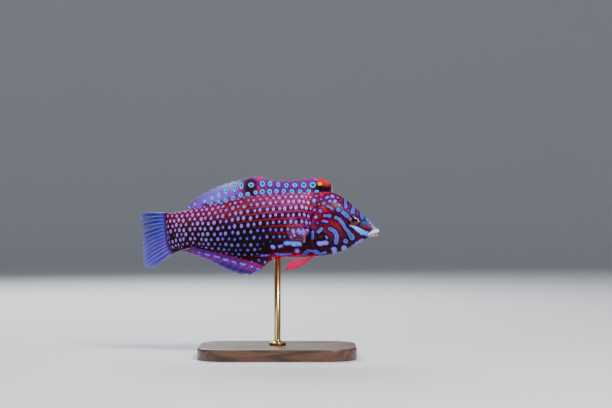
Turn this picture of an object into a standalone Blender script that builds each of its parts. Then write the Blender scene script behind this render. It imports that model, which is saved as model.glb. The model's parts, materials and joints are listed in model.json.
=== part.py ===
"""Leopard wrasse, a life-size still model that swims above a small display stand.

Sizes are in millimetres until a mesh is made, and metres after that. The fish is
described in its own straight coordinates:
  behind  distance behind the snout tip, along the middle of the body
  aside   distance to the fish's left of its middle plane (minus is to its right)
  height  height above the belly line
swim() then bends the straight fish into its swimming curve and lifts it onto the rod.
"""

import math

import bmesh
import bpy
from mathutils import Vector

MM = 0.001

# The rod stands on the origin and meets the belly at this height.
SNOUT_AHEAD = 42.7
BELLY_HEIGHT = 42.0

# The fish's main lengths, and the gap kept between neighbouring solids.
BODY_LENGTH = 92.0
TAIL_FIN_LENGTH = 18.0
GAP = 0.3

# The swimming curve: the rear turns to the fish's left, ever more towards the tail's tip.
TURN_START = 50.0
TURN_LENGTH = BODY_LENGTH + TAIL_FIN_LENGTH - TURN_START
TURN_AT_TIP = math.radians(63.0)
TURN_GROWTH = 1.8
CURVE_STEP = 0.25

# Outlines of the body as (behind, height), and its half width as (behind, half width).
BACK_LINE = (
    (0.0, 11.4), (2.0, 13.3), (5.8, 16.8), (10.7, 21.3), (14.3, 24.4), (19.6, 27.0),
    (27.0, 27.0), (36.0, 26.7), (45.0, 26.2), (55.0, 25.2), (64.0, 23.3), (73.0, 21.2),
    (81.0, 19.4), (86.0, 18.5), (92.0, 18.2),
)  # fmt: skip
BELLY_LINE = (
    (0.0, 9.5), (4.4, 8.2), (8.6, 6.0), (13.4, 3.5), (18.0, 1.7), (23.0, 0.6),
    (30.0, 0.0), (45.9, -0.3), (53.5, -1.0), (59.0, -0.4), (66.0, 1.3), (73.0, 2.9),
    (79.0, 3.9), (84.0, 2.9), (87.5, 1.8), (92.0, 0.9),
)  # fmt: skip
HALF_WIDTH = (
    (0.0, 0.9), (1.0, 1.45), (2.0, 1.85), (4.5, 2.6), (8.0, 3.5), (12.0, 4.4), (18.0, 5.5),
    (26.0, 6.2), (36.0, 6.3), (48.0, 5.8), (60.0, 4.7), (72.0, 3.4), (82.0, 2.3), (92.0, 1.4),
)  # fmt: skip
WIDEST_LEVEL = 0.52
FLANK_POWER = 2.2
RIDGE_POWER = 0.62

# How finely the body is lofted.
AROUND = 32
FIRST_STATION = 1.3
HEAD_STEP = 0.9
HEAD_END = 31.0
REAR_STEP = 2.0

# The seam along the gill opening, and the slanted rear edge of the tail stalk, as (height, behind).
GILL_SEAM = (
    (-4.0, 23.6), (0.5, 24.0), (4.6, 25.8), (9.5, 28.2), (15.5, 28.4), (21.0, 25.8),
    (26.0, 22.0), (32.0, 21.0),
)  # fmt: skip
TAIL_ROOT = (
    (-2.0, 86.2), (1.7, 87.5), (4.2, 89.2), (8.0, 90.2), (13.0, 90.9), (18.3, 91.6), (22.0, 91.8),
)  # fmt: skip
TAIL_STALK_START = 81.6

# The outline of each gill cover as (behind, height), and how far inside the head it reaches.
GILL_COVER = (
    (18.0, 19.5), (21.5, 22.2), (26.0, 22.6), (31.0, 19.0), (32.5, 12.0), (30.0, 6.0),
    (25.5, 3.4), (20.5, 3.6), (17.2, 7.2), (16.4, 13.5),
)  # fmt: skip
GILL_COVER_INNER = 3.4

# The eye: a flattened ball that stands a little proud of the swollen cheek.
EYE_BEHIND = 10.7
EYE_HEIGHT = 15.1
EYE_ASIDE = 3.05
EYE_RADIUS = 2.55
EYE_HALF_DEPTH = 1.6
EYE_SWELLING = 0.3
EYE_SWELLING_REACH = 3.0

# The two nostrils of a side as (behind, height).
NOSTRILS = ((6.5, 15.7), (7.6, 16.9))
NOSTRIL_RADIUS = 0.34
NOSTRIL_DEPTH = 0.6

# Both lips run round the snout from corner to corner. Each is a tapered roll.
MOUTH_CORNER_BEHIND = 4.2
MOUTH_CORNER_ASIDE = 2.15
LIP_CORNER_RADIUS = 0.36
LIP_FULLNESS = 0.7
LIPS = {
    "upper_lip": {"front": 0.95, "front_height": 11.45, "corner_height": 9.95, "deep": 0.95, "tall": 1.1},
    "lower_lip": {"front": 1.4, "front_height": 9.25, "corner_height": 8.8, "deep": 0.85, "tall": 0.72},
}

# Fin sheets: half the membrane's thickness, and where a ray's flank meets it between two rays.
MEMBRANE_HALF = 0.25
ROOT_EXTRA = 0.15
RAY_FLANK = 0.3
RAY_TIP_HALF = 0.26

# The back fin: spines and soft rays, its edge as (behind, height), and how far its tips lean back.
DORSAL_SPINES = 9
DORSAL_RAYS = 11
DORSAL_START = 20.0
DORSAL_FIRST_RAY = 50.5
DORSAL_END = 79.2
DORSAL_EDGE = (
    (20.2, 30.6), (21.4, 32.8), (24.5, 33.7), (30.3, 33.2), (38.7, 32.2), (45.0, 32.7),
    (50.9, 34.0), (57.0, 32.9), (64.8, 30.9), (69.0, 29.3), (73.2, 27.2), (76.8, 25.0),
    (82.6, 20.6),
)  # fmt: skip
DORSAL_LEAN = (0.4, 3.6)
DORSAL_BOW = (0.35, 0.12)
DORSAL_RAY_HALF = 0.55
DORSAL_NOTCHES = (0.15, 0.05)

# The fin behind the vent, described in the same way.
ANAL_SPINES = 3
ANAL_RAYS = 11
ANAL_START = 45.2
ANAL_END = 79.8
ANAL_EDGE = (
    (45.4, -1.2), (47.0, -3.5), (50.2, -5.7), (55.7, -7.9), (60.8, -6.6), (65.7, -4.6),
    (70.1, -2.2), (78.0, 0.9), (84.0, 2.5),
)  # fmt: skip
ANAL_LEAN = (0.6, 4.8)
ANAL_BOW = (0.25, -0.1)
ANAL_RAY_HALF = 0.5
ANAL_NOTCHES = (0.12, 0.05)

# Tips of the tail's rays from the lowest (0) to the highest (1): how far behind, and how high.
TAIL_RAYS = 14
TAIL_TIP_BEHIND = ((0.0, 100.5), (0.077, 105.4), (0.25, 106.8), (0.5, 106.9), (0.8, 108.3), (1.0, 110.0))
TAIL_TIP_HEIGHT = ((0.0, -5.1), (0.077, -4.9), (0.25, -1.4), (0.5, 5.0), (1.0, 18.0))
TAIL_FLARE = 0.8
TAIL_RAY_HALF = 0.62
TAIL_NOTCH = 0.03

# The side fins: roots as (behind, height) at the lowest and highest ray, and lengths along the fan.
PECTORAL_RAYS = 12
PECTORAL_ROOT = ((30.8, 6.5), (29.9, 10.6))
PECTORAL_SPREAD = math.radians(42.0)
PECTORAL_LOW_ANGLE = math.radians(-16.0)
PECTORAL_HIGH_ANGLE = math.radians(38.0)
PECTORAL_LENGTH = ((0.0, 7.2), (0.25, 9.6), (0.6, 12.2), (0.85, 12.8), (1.0, 11.6))
PECTORAL_BOW = 0.5
PECTORAL_NOTCH = 0.04
PAIRED_RAY_HALF = 0.42

# The belly fins: roots as (behind, aside), and the first and last tips as (behind, aside, height).
PELVIC_RAYS = 6
PELVIC_ROOT = ((26.8, 2.5), (28.9, 0.9))
PELVIC_TIPS = ((39.6, 4.6, -5.3), (38.2, 2.0, -1.8))
PELVIC_BOW = (0.5, -1.7)
PELVIC_NOTCH = 0.07

# The display stand.
STAND_LENGTH = 66.0
STAND_WIDTH = 46.0
STAND_THICKNESS = 5.0
STAND_CORNER = 12.0
STAND_CORNER_STEPS = 6
STAND_BEVEL = 0.8
ROD_RADIUS = 1.3
ROD_FOOT_RADIUS = 3.6
ROD_FOOT_HEIGHT = 1.4
ROD_FOOT_BEVEL = 0.3
ROD_FILLET = 1.1
ROD_FILLET_STEPS = 4
ROD_SIDES = 16

# A cutter that has to pass right through the fish reaches this far.
BEYOND = 60.0


def smooth(points, at):
    """The value at one place of the smooth curve through points, which rise in their first value."""
    if at <= points[0][0]:
        return points[0][1]
    if at >= points[-1][0]:
        return points[-1][1]
    index = next(i for i in range(len(points) - 1) if points[i + 1][0] >= at)

    def slope(i):
        low, high = max(i - 1, 0), min(i + 1, len(points) - 1)
        return (points[high][1] - points[low][1]) / (points[high][0] - points[low][0])

    (x0, y0), (x1, y1) = points[index], points[index + 1]
    span = x1 - x0
    t = (at - x0) / span
    return (
        y0 * (1 + 2 * t) * (1 - t) ** 2
        + slope(index) * span * t * (1 - t) ** 2
        + y1 * t * t * (3 - 2 * t)
        + slope(index + 1) * span * t * t * (t - 1)
    )


def smooth_loop(points, steps):
    """A closed smooth curve through flat points, with this many steps between neighbours."""
    made = []
    count = len(points)
    for i in range(count):
        before, start, end, after = (Vector(points[(i + k) % count]) for k in (-1, 0, 1, 2))
        for step in range(steps):
            t = step / steps
            bend = 2 * before - 5 * start + 4 * end - after
            twist = 3 * start - before - 3 * end + after
            made.append(start + 0.5 * ((end - before) * t + bend * t * t + twist * t**3))
    return made


def turn(behind):
    """How far the body's middle line has turned to the left at this distance behind the snout."""
    share = max(0.0, behind - TURN_START) / TURN_LENGTH
    return TURN_AT_TIP * share**TURN_GROWTH


def middle_line():
    """Points of the bent middle line, one for each CURVE_STEP behind the snout."""
    x, y = SNOUT_AHEAD, 0.0
    line = [(x, y)]
    for step in range(int(2 * BODY_LENGTH / CURVE_STEP)):
        angle = turn((step + 0.5) * CURVE_STEP)
        x -= CURVE_STEP * math.cos(angle)
        y += CURVE_STEP * math.sin(angle)
        line.append((x, y))
    return line


MIDDLE = middle_line()


def swim(point):
    """The place in the row frame, in metres, of a point (-behind, aside, height) of the straight fish."""
    behind = -point[0]
    place = max(0.0, behind) / CURVE_STEP
    index = min(int(place), len(MIDDLE) - 2)
    share = place - index
    x = MIDDLE[index][0] * (1 - share) + MIDDLE[index + 1][0] * share - min(behind, 0.0)
    y = MIDDLE[index][1] * (1 - share) + MIDDLE[index + 1][1] * share
    angle = turn(behind)
    return MM * Vector(
        (x + point[1] * math.sin(angle), y + point[1] * math.cos(angle), BELLY_HEIGHT + point[2])
    )


def levels(behind):
    """Heights of the belly, of the widest level and of the back."""
    belly, back = smooth(BELLY_LINE, behind), smooth(BACK_LINE, behind)
    return belly, belly + WIDEST_LEVEL * (back - belly), back


def swelling(behind, height):
    """How far the skin swells round the eye."""
    away = math.hypot(behind - EYE_BEHIND, height - EYE_HEIGHT) / EYE_SWELLING_REACH
    return EYE_SWELLING * math.exp(-(away**4))


def section_point(behind, angle):
    """A point of the body's skin, where angle turns from the left flank up over the back."""
    belly, level, back = levels(behind)
    share = math.sin(angle)
    height = level + share * (back - level if share > 0 else level - belly)
    width = smooth(HALF_WIDTH, behind) * (1 - abs(share) ** FLANK_POWER) ** RIDGE_POWER
    width += swelling(behind, height) * min(1.0, width / EYE_RADIUS)
    return Vector((-behind, math.copysign(width, math.cos(angle)), height))


def half_width_at(behind, height):
    """How far the skin lies from the middle plane at this height."""
    belly, level, back = levels(behind)
    share = (height - level) / (back - level if height > level else level - belly)
    return smooth(HALF_WIDTH, behind) * (1 - min(1.0, abs(share)) ** FLANK_POWER) ** RIDGE_POWER


def belly_height_at(behind, aside):
    """The height of the belly's skin at this distance from the middle plane."""
    belly, level, _ = levels(behind)
    width = min(1.0, abs(aside) / smooth(HALF_WIDTH, behind))
    share = (1 - width ** (1 / RIDGE_POWER)) ** (1 / FLANK_POWER)
    return level - share * (level - belly)


def finish_material(name, colour, roughness, metallic=0.0):
    """A plain painted finish, made once for each name."""
    found = bpy.data.materials.get(name)
    if found:
        return found
    made = bpy.data.materials.new(name)
    made.use_nodes = True
    shader = made.node_tree.nodes["Principled BSDF"]
    shader.inputs["Base Color"].default_value = (*colour, 1.0)
    shader.inputs["Roughness"].default_value = roughness
    shader.inputs["Metallic"].default_value = metallic
    return made


def straight_object(name, points, faces):
    """A mesh object in the straight fish's millimetres, closed and facing out."""
    mesh = bpy.data.meshes.new(name)
    mesh.from_pydata([tuple(p) for p in points], [], faces)
    shell = bmesh.new()
    shell.from_mesh(mesh)
    bmesh.ops.recalc_face_normals(shell, faces=shell.faces)
    shell.to_mesh(mesh)
    shell.free()
    made = bpy.data.objects.new(name, mesh)
    bpy.context.scene.collection.objects.link(made)
    return made


def loft(name, rings):
    """A closed skin over rings of points, each end closed by a fan to its middle."""
    count = len(rings[0])
    points = [p for ring in rings for p in ring]
    faces = []
    for r in range(len(rings) - 1):
        for k in range(count):
            a, b = r * count + k, r * count + (k + 1) % count
            faces.append((a, b, b + count, a + count))
    for ring, first in ((rings[0], 0), (rings[-1], (len(rings) - 1) * count)):
        points.append(sum(ring, Vector()) / count)
        hub = len(points) - 1
        faces.extend((hub, first + k, first + (k + 1) % count) for k in range(count))
    return straight_object(name, points, faces)


def prism(name, outline, low=-BEYOND, high=BEYOND):
    """A flat outline of (behind, height) points, extruded from aside low to aside high."""
    count = len(outline)
    points = [Vector((-p[0], aside, p[1])) for aside in (low, high) for p in outline]
    faces = [tuple(range(count)), tuple(range(2 * count - 1, count - 1, -1))]
    for k in range(count):
        n = (k + 1) % count
        faces.append((k, n, n + count, k + count))
    return straight_object(name, points, faces)


def surfaces_of(shell):
    """The separate closed surfaces of a mesh, each as a set of its points."""
    left, found = set(shell.verts), []
    while left:
        edge = [left.pop()]
        surface = set(edge)
        while edge:
            point = edge.pop()
            near = {link.other_vert(point) for link in point.link_edges} - surface
            surface |= near
            edge.extend(near)
        left -= surface
        found.append(surface)
    return found


def combine(piece, other, operation):
    """Cuts or keeps what another closed mesh covers, keeps the largest surface, and removes that mesh."""
    step = piece.modifiers.new("cut", "BOOLEAN")
    step.operation = operation
    step.solver = "EXACT"
    step.object = other
    graph = bpy.context.evaluated_depsgraph_get()
    mesh = bpy.data.meshes.new_from_object(piece.evaluated_get(graph))
    piece.modifiers.clear()
    piece.data = mesh
    bpy.data.objects.remove(other)
    shell = bmesh.new()
    shell.from_mesh(mesh)
    surfaces = sorted(surfaces_of(shell), key=len)
    scraps = [point for surface in surfaces[:-1] for point in surface]
    bmesh.ops.delete(shell, geom=scraps, context="VERTS")
    shell.to_mesh(mesh)
    shell.free()


def copy_of(piece, name):
    made = bpy.data.objects.new(name, piece.data.copy())
    bpy.context.scene.collection.objects.link(made)
    return made


def settle(piece, material, sharp_angle=40.0):
    """Splits a straight piece into triangles, bends it into the swimming curve and paints it."""
    shell = bmesh.new()
    shell.from_mesh(piece.data)
    bmesh.ops.triangulate(shell, faces=shell.faces)
    for vertex in shell.verts:
        vertex.co = swim(vertex.co)
    shell.to_mesh(piece.data)
    shell.free()
    piece.data.materials.clear()
    piece.data.materials.append(material)
    piece.data.shade_smooth()
    piece.data.set_sharp_from_angle(angle=math.radians(sharp_angle))
    return piece


def body_stations():
    """Where the body's rings lie: close together on the head, wider apart behind it."""
    places, at = [], FIRST_STATION
    while at < BODY_LENGTH - HEAD_STEP:
        places.append(at)
        at += HEAD_STEP if at < HEAD_END else REAR_STEP
    return [*places, BODY_LENGTH]


def whole_body():
    """The body from the snout to the root of the tail fin, before it is parted."""
    rings = [
        [section_point(behind, 2 * math.pi * (k + 0.5) / AROUND) for k in range(AROUND)]
        for behind in body_stations()
    ]
    return loft("whole_body", rings)


def wall_outline(line, shift, end, steps=28):
    """The area between a smooth line, whose points are (height, behind), and a far end."""
    low, high = line[0][0], line[-1][0]
    heights = [low + (high - low) * k / steps for k in range(steps + 1)]
    wall = [(smooth(line, height) + shift, height) for height in heights]
    return [*wall, (end, high), (end, low)]


def lip_body(name, front, front_height, corner_height, deep, tall, grow=0.0):
    """One lip: a tapered roll round the snout. grow makes the cutter that leaves the gap behind it."""
    along, round_ = 18, 12
    rings = []
    for i in range(along + 1):
        angle = math.pi * (i / along - 0.5)
        bow = math.cos(angle)
        middle = Vector(
            (
                -(front + (MOUTH_CORNER_BEHIND - front) * (1 - bow)),
                MOUTH_CORNER_ASIDE * math.sin(angle),
                corner_height + (front_height - corner_height) * bow,
            )
        )
        out = Vector((bow, math.sin(angle), 0.0)).normalized()
        share = bow**LIP_FULLNESS
        reach = LIP_CORNER_RADIUS + (deep - LIP_CORNER_RADIUS) * share + grow
        rise = LIP_CORNER_RADIUS + (tall - LIP_CORNER_RADIUS) * share + grow
        turned = [2 * math.pi * k / round_ for k in range(round_)]
        up = Vector((0.0, 0.0, 1.0))
        rings.append([middle + out * reach * math.cos(a) + up * rise * math.sin(a) for a in turned])
    return loft(name, rings)


def eye_ball(name, side, grow=0.0):
    """A flattened ball on one side of the head."""
    across, along = 20, 12
    rings = []
    for i in range(1, along):
        tilt = math.pi * i / along
        aside = side * (EYE_ASIDE + math.cos(tilt) * (EYE_HALF_DEPTH + grow))
        radius = math.sin(tilt) * (EYE_RADIUS + grow)
        turned = [2 * math.pi * k / across for k in range(across)]
        rings.append(
            [
                Vector((radius * math.cos(a) - EYE_BEHIND, aside, EYE_HEIGHT + radius * math.sin(a)))
                for a in turned
            ]
        )
    ball = loft(name, rings)
    for hub, outward in zip(ball.data.vertices[-2:], (1, -1)):
        hub.co.y = side * (EYE_ASIDE + outward * (EYE_HALF_DEPTH + grow))
    return ball


def nostril(side, behind, height):
    """The cutter of one nostril pit, square to the middle plane."""
    sides = 8
    turned = [2 * math.pi * k / sides for k in range(sides)]
    outline = [
        (behind + NOSTRIL_RADIUS * math.cos(a), height + NOSTRIL_RADIUS * math.sin(a)) for a in turned
    ]
    skin = half_width_at(behind, height)
    low, high = sorted((side * (skin - NOSTRIL_DEPTH), side * BEYOND))
    return prism("nostril", outline, low, high)


def gill_region(name, side, grow, inner):
    """The block that a gill cover fills, or the wider pocket that it lies in."""
    outline = smooth_loop(GILL_COVER, 4)
    centre = sum(outline, Vector((0.0, 0.0))) / len(outline)
    outline = [p + (p - centre).normalized() * grow for p in outline]
    low, high = sorted((side * inner, side * BEYOND))
    return prism(name, outline, low, high)


def build_head(head, skin):
    """Cuts the gill covers, eye sockets, nostrils and mouth out of the head, and makes the lips."""
    for side, word in ((1, "left"), (-1, "right")):
        cover = copy_of(head, f"gill_cover_{word}")
        combine(cover, gill_region("keep", side, 0.0, GILL_COVER_INNER), "INTERSECT")
        settle(cover, skin)
        combine(head, gill_region("pocket", side, GAP, GILL_COVER_INNER - GAP), "DIFFERENCE")
        combine(head, eye_ball("socket", side, GAP), "DIFFERENCE")
        for place in NOSTRILS:
            combine(head, nostril(side, *place), "DIFFERENCE")
    pale = finish_material("pale_lip", (0.55, 0.72, 0.75), 0.35)
    for name, sizes in LIPS.items():
        combine(head, lip_body("cutter", grow=GAP, **sizes), "DIFFERENCE")
        settle(lip_body(name, **sizes), pale)
    settle(head, skin)


def build_body():
    """Parts the whole body by thin cuts into head, trunk and tail stalk."""
    skin = finish_material("red_skin", (0.42, 0.05, 0.06), 0.4)
    flank = finish_material("spotted_flank", (0.16, 0.06, 0.10), 0.4)
    half, far = GAP / 2, BODY_LENGTH + BEYOND
    head = whole_body()
    trunk = copy_of(head, "trunk")
    head.name = "head"
    combine(head, prism("keep", wall_outline(GILL_SEAM, -half, -BEYOND)), "INTERSECT")
    build_head(head, skin)
    combine(trunk, prism("keep", wall_outline(GILL_SEAM, half, far)), "INTERSECT")
    stalk = copy_of(trunk, "tail_stalk")
    across = (-BEYOND, BEYOND)
    front = [(-BEYOND, across[0]), (TAIL_STALK_START + half, across[0])]
    front += [(TAIL_STALK_START + half, across[1]), (-BEYOND, across[1])]
    rear = [(far, across[1]), (TAIL_STALK_START - half, across[1])]
    rear += [(TAIL_STALK_START - half, across[0]), (far, across[0])]
    combine(stalk, prism("front", front), "DIFFERENCE")
    combine(stalk, prism("back", wall_outline(TAIL_ROOT, 0.0, far)), "DIFFERENCE")
    settle(stalk, flank)
    combine(trunk, prism("rear", rear), "DIFFERENCE")
    settle(trunk, flank)


def build_eyes():
    eye = finish_material("eye", (0.45, 0.08, 0.10), 0.12)
    for side, word in ((1, "left"), (-1, "right")):
        settle(eye_ball(f"eye_{word}", side), eye)


def ray_between(root, tip, bow):
    """A ray from root to tip that bows by this vector at its middle."""
    return lambda share: root.lerp(tip, share) + bow * (4 * share * (1 - share))


def fin_columns(count):
    """Columns of a fin: each ray, and two membrane columns between it and the next."""
    for k in range(count):
        yield k, k, 0.0
        if k + 1 < count:
            yield k, k + 1, RAY_FLANK
            yield k, k + 1, 1 - RAY_FLANK


def fin(name, rays, material, ray_half, rows, notch, across, root_across=None):
    """A fin as one closed sheet with its rays raised in its own surface.

    Each ray is a function that gives the point at a share of its length. notch(k) is how far
    short of the tips the membrane behind ray k stops. across is the sheet's thickness direction,
    and root_across the one where it meets the body.
    """
    front, back = [], []
    columns = list(fin_columns(len(rays)))
    for low, high, blend in columns:
        on_ray = low == high
        for row in range(rows + 1):
            share = row / rows
            reach = share if on_ray else share * (1 - notch(low))
            point = rays[low](reach).lerp(rays[high](reach), blend)
            thick = ray_half + (RAY_TIP_HALF - ray_half) * share if on_ray else MEMBRANE_HALF
            direction = across
            if row == 0:
                thick = max(thick, MEMBRANE_HALF + ROOT_EXTRA)
                direction = root_across or across
            front.append(point + direction * thick)
            back.append(point - direction * thick)
    faces = sheet_faces(len(columns), rows + 1)
    return settle(straight_object(name, front + back, faces), material, 60.0)


def sheet_faces(wide, long_):
    """Faces that join two grids of points into one closed sheet, split alike on both sides."""
    offset = wide * long_
    faces = []
    for c in range(wide - 1):
        for r in range(long_ - 1):
            a, b = c * long_ + r, (c + 1) * long_ + r
            for corner in ((a, b, b + 1), (a, b + 1, a + 1)):
                faces.append(corner)
                faces.append(tuple(offset + v for v in reversed(corner)))
    rim = [c * long_ for c in range(wide)]
    rim += [(wide - 1) * long_ + r for r in range(1, long_)]
    rim += [c * long_ + long_ - 1 for c in range(wide - 2, -1, -1)]
    rim += list(range(long_ - 2, 0, -1))
    for a, b in zip(rim, rim[1:] + rim[:1]):
        faces.append((a, a + offset, b + offset))
        faces.append((a, b + offset, b))
    return faces


def edge_ray(behind, line, gap, lean, edge, bow):
    """A ray of an unpaired fin, from the body's outline to the fin's edge."""
    root = Vector((-behind, 0.0, smooth(line, behind) + gap))
    tip = Vector((-(behind + lean), 0.0, smooth(edge, behind + lean)))
    return ray_between(root, tip, Vector((bow[0], 0.0, bow[1])))


def dorsal_rays():
    """Spines and then soft rays, leaning back more and more."""
    last = DORSAL_SPINES + DORSAL_RAYS - 1
    spines = (DORSAL_FIRST_RAY - DORSAL_START) / DORSAL_SPINES
    soft = (DORSAL_END - DORSAL_FIRST_RAY) / (DORSAL_RAYS - 1)
    rays = []
    for k in range(last + 1):
        behind = DORSAL_START + spines * min(k, DORSAL_SPINES) + soft * max(0, k - DORSAL_SPINES)
        lean = DORSAL_LEAN[0] + (DORSAL_LEAN[1] - DORSAL_LEAN[0]) * (k / last) ** 0.8
        rays.append(edge_ray(behind, BACK_LINE, GAP, lean, DORSAL_EDGE, DORSAL_BOW))
    return rays


def anal_rays():
    last = ANAL_SPINES + ANAL_RAYS - 1
    rays = []
    for k in range(last + 1):
        behind = ANAL_START + (ANAL_END - ANAL_START) * k / last
        lean = ANAL_LEAN[0] + (ANAL_LEAN[1] - ANAL_LEAN[0]) * min(1.0, k / ANAL_SPINES) ** 0.8
        rays.append(edge_ray(behind, BELLY_LINE, -GAP, lean, ANAL_EDGE, ANAL_BOW))
    return rays


def tail_rays():
    """Rays that fan out from the slanted edge of the tail stalk."""
    low, high = TAIL_ROOT[1][0], TAIL_ROOT[-2][0]
    rays = []
    for k in range(TAIL_RAYS):
        share = k / (TAIL_RAYS - 1)
        root_height = low + (high - low) * share
        root = Vector((-(smooth(TAIL_ROOT, root_height) + GAP), 0.0, root_height))
        tip = Vector((-smooth(TAIL_TIP_BEHIND, share), 0.0, smooth(TAIL_TIP_HEIGHT, share)))
        rays.append(ray_between(root, tip, Vector((0.0, 0.0, TAIL_FLARE * (share - 0.5)))))
    return rays


def build_middle_fins():
    """The back fin, the fin behind the vent and the tail fin, which stand in the middle plane."""
    violet = finish_material("violet_fin", (0.45, 0.22, 0.5), 0.35)
    blue = finish_material("blue_fin", (0.32, 0.34, 0.72), 0.35)
    aside = Vector((0.0, 1.0, 0.0))
    spiny, soft = DORSAL_NOTCHES
    fin(
        "dorsal_fin", dorsal_rays(), violet, DORSAL_RAY_HALF, 5,
        lambda k: spiny if k < DORSAL_SPINES - 1 else soft, aside,
    )  # fmt: skip
    first, rest = ANAL_NOTCHES
    fin(
        "anal_fin", anal_rays(), violet, ANAL_RAY_HALF, 4,
        lambda k: first if k < ANAL_SPINES else rest, aside,
    )  # fmt: skip
    fin("tail_fin", tail_rays(), blue, TAIL_RAY_HALF, 7, lambda k: TAIL_NOTCH, aside)


def pectoral_rays(side):
    """Rays that fan back and out from a short root on the flank, behind the gill cover."""
    back = Vector((-math.cos(PECTORAL_SPREAD), side * math.sin(PECTORAL_SPREAD), 0.0))
    up = Vector((0.0, 0.0, 1.0))
    rays = []
    for k in range(PECTORAL_RAYS):
        share = k / (PECTORAL_RAYS - 1)
        behind, height = Vector(PECTORAL_ROOT[0]).lerp(Vector(PECTORAL_ROOT[1]), share)
        aside = side * (half_width_at(behind, height) + GAP)
        root = Vector((-behind, aside, height))
        angle = PECTORAL_LOW_ANGLE + (PECTORAL_HIGH_ANGLE - PECTORAL_LOW_ANGLE) * share
        direction = back * math.cos(angle) + up * math.sin(angle)
        tip = root + direction * smooth(PECTORAL_LENGTH, share)
        rays.append(ray_between(root, tip, Vector((0.0, side * PECTORAL_BOW, 0.0))))
    return rays


def pelvic_rays(side):
    """Rays that run back from the belly, the first one bowed down the most."""
    first, last = (Vector((-b, side * a, h)) for b, a, h in PELVIC_TIPS)
    rays = []
    for k in range(PELVIC_RAYS):
        share = k / (PELVIC_RAYS - 1)
        behind, aside = Vector(PELVIC_ROOT[0]).lerp(Vector(PELVIC_ROOT[1]), share)
        height = belly_height_at(behind, aside) - GAP - ROOT_EXTRA
        root = Vector((-behind, side * aside, height))
        bow = Vector((0.0, side * PELVIC_BOW[0], PELVIC_BOW[1])) * (1 - 0.9 * share)
        rays.append(ray_between(root, first.lerp(last, share**0.8), bow))
    return rays


def build_paired_fins():
    clear = finish_material("clear_fin", (0.75, 0.5, 0.6), 0.3)
    red = finish_material("red_fin", (0.7, 0.03, 0.08), 0.35)
    along = Vector((1.0, 0.0, 0.0))
    for side, word in ((1, "left"), (-1, "right")):
        out = Vector((math.sin(PECTORAL_SPREAD), side * math.cos(PECTORAL_SPREAD), 0.0))
        fin(
            f"pectoral_fin_{word}", pectoral_rays(side), clear, PAIRED_RAY_HALF, 5,
            lambda k: PECTORAL_NOTCH, out, along,
        )  # fmt: skip
        root = Vector(PELVIC_ROOT[1]) - Vector(PELVIC_ROOT[0])
        across_root = Vector((-root.y, side * -root.x, 0.0)).normalized()
        out = Vector((0.15, side * -0.75, -0.62)).normalized()
        fin(
            f"pelvic_fin_{word}", pelvic_rays(side), red, PAIRED_RAY_HALF, 5,
            lambda k: PELVIC_NOTCH, out, across_root,
        )  # fmt: skip


def standing_object(name, rings, material):
    """A closed stacked shape that stands in the row frame, given in millimetres."""
    made = loft(name, rings)
    for vertex in made.data.vertices:
        vertex.co *= MM
    made.data.materials.append(material)
    made.data.shade_smooth()
    made.data.set_sharp_from_angle(angle=math.radians(35.0))
    return made


def stand_outline(inset, height):
    """The rounded outline of the stand's base, drawn in by inset."""
    points = []
    corner = STAND_CORNER - inset
    straight_x = STAND_LENGTH / 2 - STAND_CORNER
    straight_y = STAND_WIDTH / 2 - STAND_CORNER
    for quarter, (sign_x, sign_y) in enumerate(((1, 1), (-1, 1), (-1, -1), (1, -1))):
        centre = Vector((sign_x * straight_x, sign_y * straight_y, height))
        for step in range(STAND_CORNER_STEPS + 1):
            angle = (math.pi / 2) * (quarter + step / STAND_CORNER_STEPS)
            points.append(centre + corner * Vector((math.cos(angle), math.sin(angle), 0.0)))
    return points


def build_stand_base():
    bevel = STAND_BEVEL
    rings = [
        stand_outline(0.0, 0.0),
        stand_outline(0.0, STAND_THICKNESS - bevel),
        stand_outline(bevel * 0.3, STAND_THICKNESS - bevel * 0.3),
        stand_outline(bevel, STAND_THICKNESS),
    ]
    standing_object("stand_base", rings, finish_material("stand_wood", (0.16, 0.08, 0.04), 0.4))


def build_stand_rod():
    """A rod with a turned foot, whose top follows the belly's skin."""
    floor = STAND_THICKNESS + GAP
    foot_top = floor + ROD_FOOT_HEIGHT
    profile = [
        (ROD_FOOT_RADIUS, floor),
        (ROD_FOOT_RADIUS, foot_top - ROD_FOOT_BEVEL),
        (ROD_FOOT_RADIUS - ROD_FOOT_BEVEL, foot_top),
    ]
    for step in range(ROD_FILLET_STEPS + 1):
        angle = (math.pi / 2) * step / ROD_FILLET_STEPS
        radius = ROD_RADIUS + ROD_FILLET * (1 - math.sin(angle))
        profile.append((radius, foot_top + ROD_FILLET * (1 - math.cos(angle))))
    turned = [2 * math.pi * k / ROD_SIDES for k in range(ROD_SIDES)]
    rings = [[Vector((r * math.cos(a), r * math.sin(a), h)) for a in turned] for r, h in profile]
    top = [Vector((ROD_RADIUS * math.cos(a), ROD_RADIUS * math.sin(a), 0.0)) for a in turned]
    for point in top:
        point.z = BELLY_HEIGHT + belly_height_at(SNOUT_AHEAD - point.x, point.y) - GAP
    rings.append(top)
    brass = finish_material("stand_brass", (0.75, 0.55, 0.25), 0.25, 1.0)
    rod = standing_object("stand_rod", rings, brass)
    rod.data.vertices[-1].co.z = MM * (BELLY_HEIGHT + belly_height_at(SNOUT_AHEAD, 0.0) - GAP)


def main():
    for old in list(bpy.data.objects):
        bpy.data.objects.remove(old)
    build_body()
    build_eyes()
    build_middle_fins()
    build_paired_fins()
    build_stand_base()
    build_stand_rod()


main()
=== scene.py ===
# %% [markdown]
# # Dressing a leopard wrasse
# The solid model gives this fish its shape and its stand. This lesson puts the living
# surface over it: one skin, a coat of separate scales, thin fins with branching rays, glossy
# eyes and the finish of the stand. Everything is described on a straight fish, in
# millimetres, and then bent into the swimming curve of the solid model, in metres.

# %% Load the solid model
import json
import math

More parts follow.
